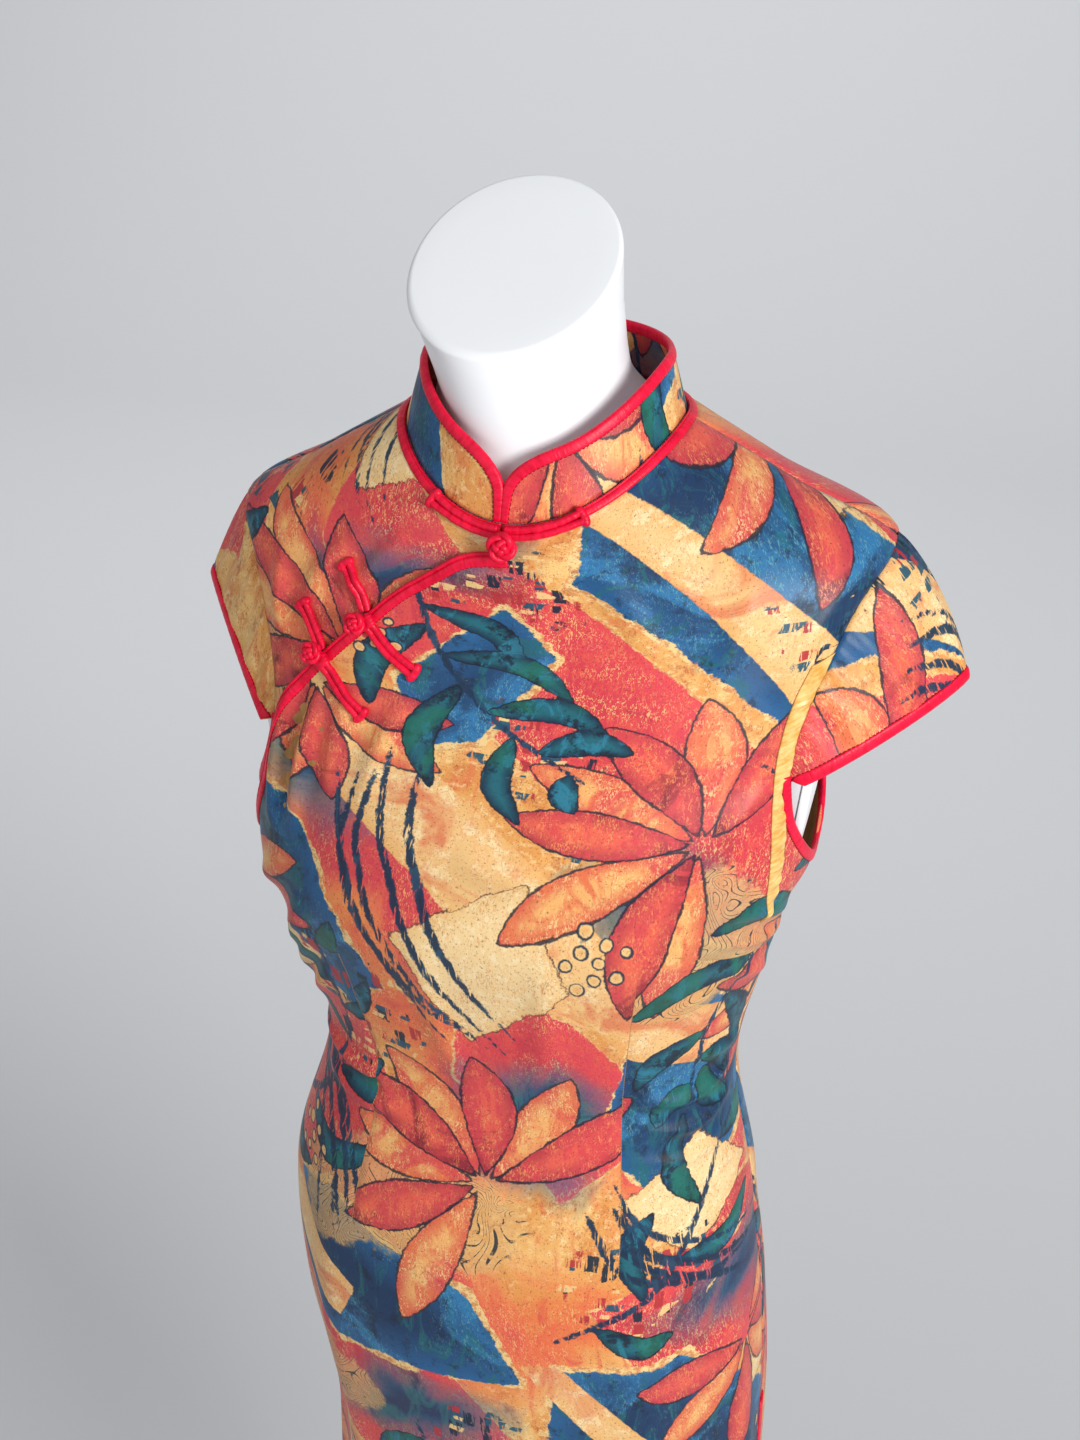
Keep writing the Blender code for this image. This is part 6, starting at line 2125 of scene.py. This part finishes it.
# ---- collar
@dataclass(frozen=True)
class Collar:
    """The stand collar, stiffened, with its rolled binding and the cord in the neck seam.

    Angles are in radians: turn is how far the opening lies to the wearer's right, opening how wide it is and
    corner how far round it the band gains its full height from front_share of it.
    """

    figure: Figure
    turn: float = .08
    opening: float = .014
    corner: float = .42
    front_share: float = .375
    rows: int = 14
    columns: int = 190
    spacing: float = .0018

    def point(self, turns: Array, share: float) -> Array:
        """Points of the collar's outer face.

        Args:
            turns: angle from the front opening, to the wearer's left.
            share: how far up from the neck seam.

        Returns:
            The points in space.
        """
        angle = turns - QUARTER_TURN - self.turn
        foot = ring_point(DRESS_RINGS, angle, DRESS_RINGS[-1].level)
        top = ring_point([replace(COLLAR_TOP, level=level) for level in (0.0, 1.0)], angle, 0.0)
        from_front = np.minimum(turns, TURN - turns) / self.corner
        gained = np.sqrt(np.clip(1 - (1 - np.clip(from_front, 0, 1)) ** 2.2, 0, 1))
        height = self.front_share + (1 - self.front_share) * gained
        start = foot - np.stack([np.cos(angle), np.sin(angle), 0 * angle], 1) * .0002 + (0, 0, .0004)
        return start + (top - start) * (height * share)[:, None]

    def build(self, bindings: Bindings, design: PrintDesign) -> None:
        """Makes the collar's band, its binding and the neck cord.

        Args:
            bindings: what makes the binding.
            design: the print.
        """
        gain = self.opening / 2 + self.corner * np.linspace(0, 1, 40) ** 1.7
        rest = np.linspace(gain[-1], TURN - gain[-1], self.columns - 78)[1:-1]
        turns = np.concatenate([gain, rest, TURN - gain[::-1]])
        grid = np.array([self.point(turns, s) for s in np.linspace(0, 1, self.rows)])
        normal = facing(grid, np.stack([np.sin(turns - self.turn), -np.cos(turns - self.turn), 0 * turns], 1))
        inner = grid - normal * COLLAR_CLOTH
        band = add_piece("collar_band", walls(grid, inner), PRINT)
        along, away, flat, area = unrolled(grid)
        # the inner face's offset puts a darker stretch of the print there, as painted shade inside the collar
        design.onto(band, np.concatenate([flat + (.17, .41), flat + (.03, .36)]))
        edge, out = (np.concatenate([part[:-1, 0], part[-1], part[:-1, -1][::-1]]) for part in (inner, normal))
        edge, out = evenly(edge, self.spacing), unit(evenly(out, self.spacing, edge))
        into = np.cross(out, np.gradient(relax(edge, 2), axis=0))
        into *= -np.sign(into[len(into) // 2, 2])
        rank = np.arange(len(edge))
        width = .0034 + .0014 * ease(np.minimum(rank, rank[::-1]) * self.spacing / .022)
        bindings.rolled("collar_binding", edge, out, into, COLLAR_CLOTH, width, 31, .85)
        self.piping()

    def piping(self) -> None:
        """Makes the cord in the neck seam."""
        down, lift = np.array(PIPING_PROFILE).T
        places = [(FRONT, s) for s in np.linspace(.003 - CENTRE_SHARE, 1.0, 60)]
        places += [(BACK, s) for s in np.linspace(1.0, -1.0, 110)[1:-1]]
        places += [(FRONT, s) for s in np.linspace(-1.0, -.003 - CENTRE_SHARE, 56)]
        sections = []
        for side, share in places:
            levels = [self.figure.below_neck(side, share, PIPING_WIDTH * way) for way in down]
            path = np.array([self.figure.place(side, share, level) for level in levels])
            sections.append(self.figure.at(side, path, lift * MM))
        add_piece("neck_piping", swept(np.array(sections)), CRIMSON)


# ---- frogs
@dataclass(frozen=True, kw_only=True)
class Fastening:
    """Doubled satin cords and a knot on the front. Places are (share, level); sizes are in metres."""

    cord: float = .00185
    apart: float = .00176
    bar: float = .0052
    bar_half: float = .00235
    radius: float = .0061

    def pair(self, name: str, figure: Figure, path: Array, lift: Array, end: int) -> None:
        """Two cords side by side, one end of each folded under into a small bar.

        Args:
            name: the piece's name.
            figure: what they lie on.
            path, lift: their middle line and the height of what it lies on.
            end: its folded end, 0 or -1.
        """
        centre = figure.at(FRONT, path, lift + self.cord * .9)
        along, aside, up = frames(centre, figure.normal(FRONT, path))
        around = np.linspace(0, TURN, 20, endpoint=False)
        c, s = np.cos(around), np.sin(around)
        away, place = np.linalg.norm(centre - centre[end], axis=1), gone(centre)
        spread = self.apart * (1 + .45 * np.exp(-away / .003) + .05 * ripple(place, .013, 70))
        bodies = []
        for sign, crest in ((-1, 1.25), (1, 1.9)):
            radius = self.cord * (1 + .05 * ripple(place, .006, 50 + sign))
            ridge = 1 - .16 * np.exp(-(np.mod(around - crest, TURN) / .2) ** 2)
            middle = centre + aside * (sign * spread)[:, None]
            bodies.append(swept(rounds(middle, aside, up, np.outer(radius, c * ridge), np.outer(radius, s * ridge))))
        share = np.linspace(-1, 1, 21)
        inward, square = along[end] * (1 if end else -1), share ** 2
        line = centre[end] + np.outer(share * self.bar, aside[end]) - np.outer(.0003 + .0016 * square, inward)
        line -= np.outer(.0001 + .0004 * square, up[end])
        thick = self.bar_half * (1 - .12 * np.exp(-(share / .18) ** 2))
        thick *= np.sqrt(np.clip(1.02 - np.abs(share) ** 6, 0, 1))
        _, aside, up = frames(line, np.broadcast_to(up[end], line.shape))
        bodies.append(swept(rounds(line, aside, up, np.outer(thick, c), np.outer(thick, s * .95))))
        add_piece(name, joined(bodies), CRIMSON)

    def knotted(self, name: str, figure: Figure, place: Pair, lift: float, turn: float) -> None:
        """The knot: one cord woven over and under itself in three turns and four lobes, over a ball.

        Args:
            name: the piece's name.
            figure: what it lies on.
            place, lift: where it lies, and how high.
            turn: how it is turned, in radians.
        """
        radius, spot = self.radius, np.array([place])
        out = figure.normal(FRONT, spot)[0]
        centre = figure.at(FRONT, spot, lift + radius * .72)[0]
        right = -unit(np.cross((0, 0, 1.0), out))
        axes = np.array([right, -np.cross(out, right), out])
        t = np.linspace(0, TURN, 220, endpoint=False)
        flat, phi, cord = radius * (.52 + .3 * np.cos(4 * t)), 3 * t + turn, radius * .235
        dome = np.sqrt(np.clip(1 - (flat / (radius * 1.02)) ** 2, 0, 1)) * radius * .62
        high = dome + cord * .75 * np.sin(8 * t + .6)
        line = centre + np.stack([flat * np.cos(phi), flat * np.sin(phi), high], 1) @ axes
        _, aside, up = frames(line, np.broadcast_to(out, line.shape), ring=True)
        around = np.linspace(0, TURN, 10, endpoint=False)
        strand = swept(rounds(line, aside, up, cord * np.cos(around), cord * np.sin(around)), closed=True)
        polar, a = np.linspace(0, HALF_TURN, 15)[1:-1, None], np.linspace(0, TURN, 28, endpoint=False)
        reach = radius * .8 * (1 + .07 * np.cos(4 * (a - turn))) * np.sin(polar)
        ball = np.broadcast_arrays(reach * np.cos(a), reach * np.sin(a), radius * .6 * np.cos(polar))
        points, faces, _ = swept(centre + np.stack(ball, -1) @ axes)
        points[-2:] = centre + np.outer((1, -1), out * radius * .6)
        add_piece(name, joined([strand, (points, faces, points[:, [0, 2]])]), CRIMSON)


@dataclass(frozen=True)
class Frog(Fastening):
    """A knotted fastening across the closing edge, with a wrap where its loop crosses the binding."""

    name: str
    upper: Pair
    closing: Pair
    lower: Pair
    knot: Pair
    bow: float

    def bowed(self, start: Array, end: Array, bow: float) -> Array:
        """A path between two places that bows sideways."""
        run, s = end - start, np.linspace(0, 1, 40)
        return start + np.outer(s, run) + np.outer(np.sin(s * HALF_TURN) * bow, unit(run[::-1] * (1, -1)))

    def wrap(self, figure: Figure, path: Array, lift: Array) -> None:
        """The satin band wound round both cords where they cross the edge.

        Args:
            figure: what it lies on.
            path, lift: its middle line and the height of what it lies on.
        """
        centre = figure.at(FRONT, path, lift + self.cord * .9)
        _, aside, up = frames(centre, figure.normal(FRONT, path))
        s = np.linspace(-1, 1, len(path))
        wide = (self.apart + self.cord) * (1.1 + .16 * (1 - s ** 2)) + .0002 * np.cos(s * 9)
        tall = self.cord * (1.25 + .22 * (1 - s ** 2))
        a = np.linspace(0, TURN, 22, endpoint=False)
        across, rise = np.outer(wide, rounded(np.cos(a), .75)), np.outer(tall, rounded(np.sin(a), .8))
        add_piece(f"frog_{self.name}_wrap", swept(rounds(centre, aside, up, across, rise)), CRIMSON)

    def build(self, panels: Panels) -> None:
        """Makes both arms, the wrap and the knot.

        Args:
            panels: what they are sewn to.
        """
        figure, node = panels.figure, f"frog_{self.name}_"
        upper, closing, lower = (np.array(figure.place(FRONT, *p)) for p in (self.upper, self.closing, self.lower))
        run = unit(closing - upper)
        path = self.bowed(upper, closing - run * .003, -self.bow * .4)
        self.pair(node + "upper", figure, path, panels.drape.at(FRONT, path) + CLOTH, 0)
        path = self.bowed(closing - run * .0006, lower, self.bow)
        away = np.linalg.norm(path - path[0], axis=1)
        lift = panels.front_lift(path) + CLOTH + .0014 * (1 - ease((away - BINDING_WIDTH * 1.1) / .006))
        self.pair(node + "lower", figure, path, lift, -1)
        fine = evenly(path[(away > .001) & (away < .0085)], .0007)
        self.wrap(figure, fine, np.interp(np.linalg.norm(fine - path[0], axis=1), away, lift))
        self.knotted(node + "knot", figure, figure.place(FRONT, *self.knot), FLAP_RISE + CLOTH + .0012, .5)


@dataclass(frozen=True)
class CollarFrog(Fastening):
    """The fastening at the neck, whose arms follow the neck seam to both sides of the opening."""

    arms: tuple[tuple[str, float, float], ...] = (("left", -.03, .283), ("right", -.06, -.367))
    knot: float = -.022

    def build(self, panels: Panels) -> None:
        """Makes both arms and the knot.

        Args:
            panels: what they are sewn to.
        """
        figure = panels.figure
        for side, start, end in self.arms:
            path = [figure.place(FRONT, share, figure.below_neck(FRONT, share, PIPING_WIDTH * .8))
                for share in np.linspace(start, end, 60)]
            self.pair(f"frog_collar_{side}", figure, np.array(path), np.full(60, .002), -1)
        spot = figure.place(FRONT, self.knot, figure.below_neck(FRONT, 0, PIPING_WIDTH + .004))
        self.knotted("frog_collar_knot", figure, spot, FLAP_RISE + CLOTH + .001, .2)


FROGS = (Frog("mid", (-.475, .8925), (-.384, .8585), (-.242, .825), (-.392, .853), .0028),
    Frog("side", (-.567, .85), (-.488, .819), (-.358, .785), (-.494, .8215), .0006), CollarFrog(radius=.0076))


# ---- dress form and stand
@dataclass(frozen=True)
class DressForm:
    """The white figure from the seat to the slanting cut of its neck, in lacquered glass fibre."""

    cut: Triple = (-.0183, -.006, 1.4943)
    cut_radius: float = .0536
    climb_left: float = .067
    climb_back: float = .6
    rounding: float = .003
    cap: Triple = (.1505, .047, .064)
    cap_middle: Triple = (.0035, 0.0, 1.248)
    cap_tilt: float = .1
    cap_root: float = .11
    cap_rounding: float = .005
    cap_swell: float = .0022
    seat_swell: float = .006
    columns: int = 160
    rows: int = 170

    def rim(self, angle: Array, scale: float, drop: float) -> Array:
        """A ring of the neck's cut, drawn in by scale and let down by drop."""
        x, y = np.cos(angle) * self.cut_radius * scale, np.sin(angle) * self.cut_radius * scale
        return np.stack([x, y, self.climb_left * x + self.climb_back * y - drop], 1) + self.cut

    def build(self) -> None:
        """Makes the body and its arm caps."""
        angle = np.linspace(-HALF_TURN, HALF_TURN, self.columns, endpoint=False)
        rings = [ring_point(FORM_RINGS, angle, level) for level in np.linspace(0, FORM_RINGS[-1].level, self.rows)]
        seat, neck = rings[0], rings[-1]
        rings += [neck + (self.rim(angle, 1.0, self.rounding) - neck) * s for s in np.linspace(0, 1, 12)[1:-1]]
        for turn in np.linspace(0, QUARTER_TURN, 9):
            shrink = self.rounding * (1 - math.cos(turn)) / self.cut_radius
            rings.append(self.rim(angle, 1 - shrink, self.rounding * (1 - math.sin(turn))))
        flat = rings[-1]
        rings += [flat.mean(0) + (flat - flat.mean(0)) * scale for scale in (.8, .5, .2)]
        for turn in np.linspace(0, QUARTER_TURN, 8)[1:]:
            under = seat.mean(0) + (seat - seat.mean(0)) * (1 - .07 * (1 - math.cos(turn)))
            under[:, 2] = seat[:, 2] - self.seat_swell * math.sin(turn)
            rings.insert(0, under)
        add_piece("form_shell", swept(np.array(rings))[:2], LACQUER, "form_body")
        self.arm_cap("left", 1)
        self.arm_cap("right", -1)

    def arm_cap(self, name: str, sign: int) -> None:
        """Makes an oval plate that closes an armhole of the form, and round it a thin grey cord, a painted shadow line
        in the joint's gap.

        Args:
            name: which side.
            sign: 1 on the wearer's left, -1 on the right.
        """
        turn = np.linspace(0, TURN, 72, endpoint=False)
        y, z = self.cap[1] * rounded(np.cos(turn), .92), self.cap[2] * rounded(np.sin(turn), .92)
        face, rounding = self.cap[0] + self.cap_middle[0] * sign, self.cap_rounding
        steps = [(self.cap_root, 1.0), (face - rounding, 1.0)]
        steps += [(face - rounding * (1 - math.sin(a)), 1 - .09 * (1 - math.cos(a)))
            for a in np.linspace(0, QUARTER_TURN, 8)[1:]]
        steps += [(face + self.cap_swell * (1 - s * s), s * .91) for s in (.8, .5, .2)]
        sections = np.array([np.stack([sign * (x + self.cap_tilt * z * scale), self.cap_middle[1] + y * scale,
            self.cap_middle[2] + z * scale], 1) for x, scale in steps])
        add_piece(f"arm_cap_{name}", swept(sections)[:2], LACQUER)
        # a thin grey cord along the cap's seat: a painted shadow line in the joint's gap
        joint = np.concatenate([sections[1], sections[1][:1]])
        CORDS.along(f"arm_joint_{name}", [(joint, joint * 0 + (sign, 0, 0))], {"Step": .003, "Radius": .0004}, JOINT_SHADOW,
            "form")


@dataclass(frozen=True)
class Stand:
    """The steel pole, flange and round foot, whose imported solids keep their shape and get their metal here."""

    nodes: tuple[tuple[str, Finish], ...] = (("stand_foot", TURNED_STEEL), ("stand_pole", STEEL),
        ("stand_flange", STEEL))

    def dress(self) -> None:
        """Gives each solid its steel."""
        for name, finish in self.nodes:
            for place in bpy.data.objects[name].material_slots:
                place.material = finish.material()
            LOG.info("%s: %s", name, finish.title)


# ---- studio
@dataclass(frozen=True)
class Studio:
    """Pale paper sweep, one large soft key from the upper right, a broad fill, and the camera."""

    eye: Triple = (.218, -.955, 1.758)
    azimuth: float = 13.0
    elevation: float = 28.0
    roll: float = 1.1
    lens: float = 50.0
    floor: float = 3.8
    curve: float = 2.4
    height: float = 12.0
    aside: float = 16.0
    lamps: tuple[tuple[str, Triple, Triple, float, float], ...] = (     # place, what it shines at, size and watts
        ("key", (1.95, -1.75, 2.0), (0, 0, 1.25), .9, 72), ("fill", (-1.7, -2.4, 1.8), (0, 0, 1.2), 2.2, 12),
        ("wash", (-1.0, 2.0, 4.6), (-.7, 6.0, 2.6), 4.6, 230))

    def linked(self, name: str, data: bpy.types.ID) -> Piece:
        """Adds an object to the scene.

        Args:
            name: its name.
            data: its data.

        Returns:
            The object.
        """
        made = bpy.data.objects.new(name, data)
        bpy.context.collection.objects.link(made)
        return made

    def sweep(self) -> None:
        """The floor, which curves up into the backdrop."""
        end, curve = self.floor + self.curve, self.curve
        profile = [(-self.aside, 0.0), (self.floor, 0.0)]
        profile += [(self.floor + curve * math.sin(a), curve - curve * math.cos(a))
            for a in np.linspace(.1, QUARTER_TURN, 16)]
        profile.append((end, self.height))
        points = [(x, y, z) for y, z in profile for x in (-self.aside, self.aside)]
        mesh = bpy.data.meshes.new("sweep")
        mesh.from_pydata(points, [], [(2 * i, 2 * i + 1, 2 * i + 3, 2 * i + 2) for i in range(len(profile) - 1)])
        mesh.shade_smooth()
        mesh.materials.append(PAPER.material())
        self.linked("sweep", mesh)

    def build(self) -> None:
        """Sets the studio up."""
        self.sweep()
        world = bpy.data.worlds.new("studio")
        world.use_nodes = True
        put(world.node_tree, world.node_tree.nodes["Background"], "#EDF0F3", .5)
        scene = bpy.context.scene
        scene.world = world
        for name, place, aim, size, watts in self.lamps:
            light = bpy.data.lights.new(name, "AREA")
            light.shape, light.size, light.energy = "SQUARE", size, watts
            holder = self.linked(name, light)
            holder.location = place
            holder.rotation_euler = (Vector(aim) - Vector(place)).to_track_quat("-Z", "Y").to_euler()
        a, e, r = (math.radians(x) for x in (self.azimuth, self.elevation, self.roll))
        back = Vector((math.sin(a) * math.cos(e), -math.cos(a) * math.cos(e), math.sin(e)))
        right = (-back).cross(Vector((0, 0, 1))).normalized()
        up = right.cross(-back)
        right, up = right * math.cos(r) + up * math.sin(r), up * math.cos(r) - right * math.sin(r)
        data = bpy.data.cameras.new("camera")
        data.lens, data.sensor_width, data.sensor_fit = self.lens, 36.0, "AUTO"
        data.clip_start, data.clip_end = .02, 60
        scene.camera = self.linked("camera", data)
        scene.camera.matrix_world = Matrix([(*row, place) for row, place in zip(zip(right, up, back), self.eye)]
            + [(0, 0, 0, 1)])
        scene.view_settings.view_transform = "Standard"


def main() -> None:
    """Builds the dress, its form, the stand and the studio."""
    logging.basicConfig(level=logging.INFO, format="%(name)s %(message)s")
    Studio().build()
    figure = Figure(DRESS_RINGS)
    drape, design = Drape(figure), PrintDesign()
    panels = Panels(figure, drape, design)
    panels.build()
    bindings = Bindings(figure, drape)
    bindings.closing(panels)
    bindings.skirt(panels, FRONT, "front_skirt_binding", panels.front_lift)
    bindings.skirt(panels, BACK, "back_skirt_binding", partial(drape.at, BACK))
    bindings.strip(panels)
    for sleeve in (Sleeve("left", 1, (.224, .004, 1.292), 1.5, .6, (.36, .47), 41),
            Sleeve("right", -1, (-.1925, .004, 1.3015), 1.9, .1, (.05, .22), 61)):
        sleeve.build(figure, bindings, design)
        bindings.armhole(sleeve.sign, f"armhole_binding_{sleeve.name}")
    Collar(figure).build(bindings, design)
    for frog in FROGS:
        frog.build(panels)
    DressForm().build()
    Stand().dress()


if __name__ == "__main__":
    main()
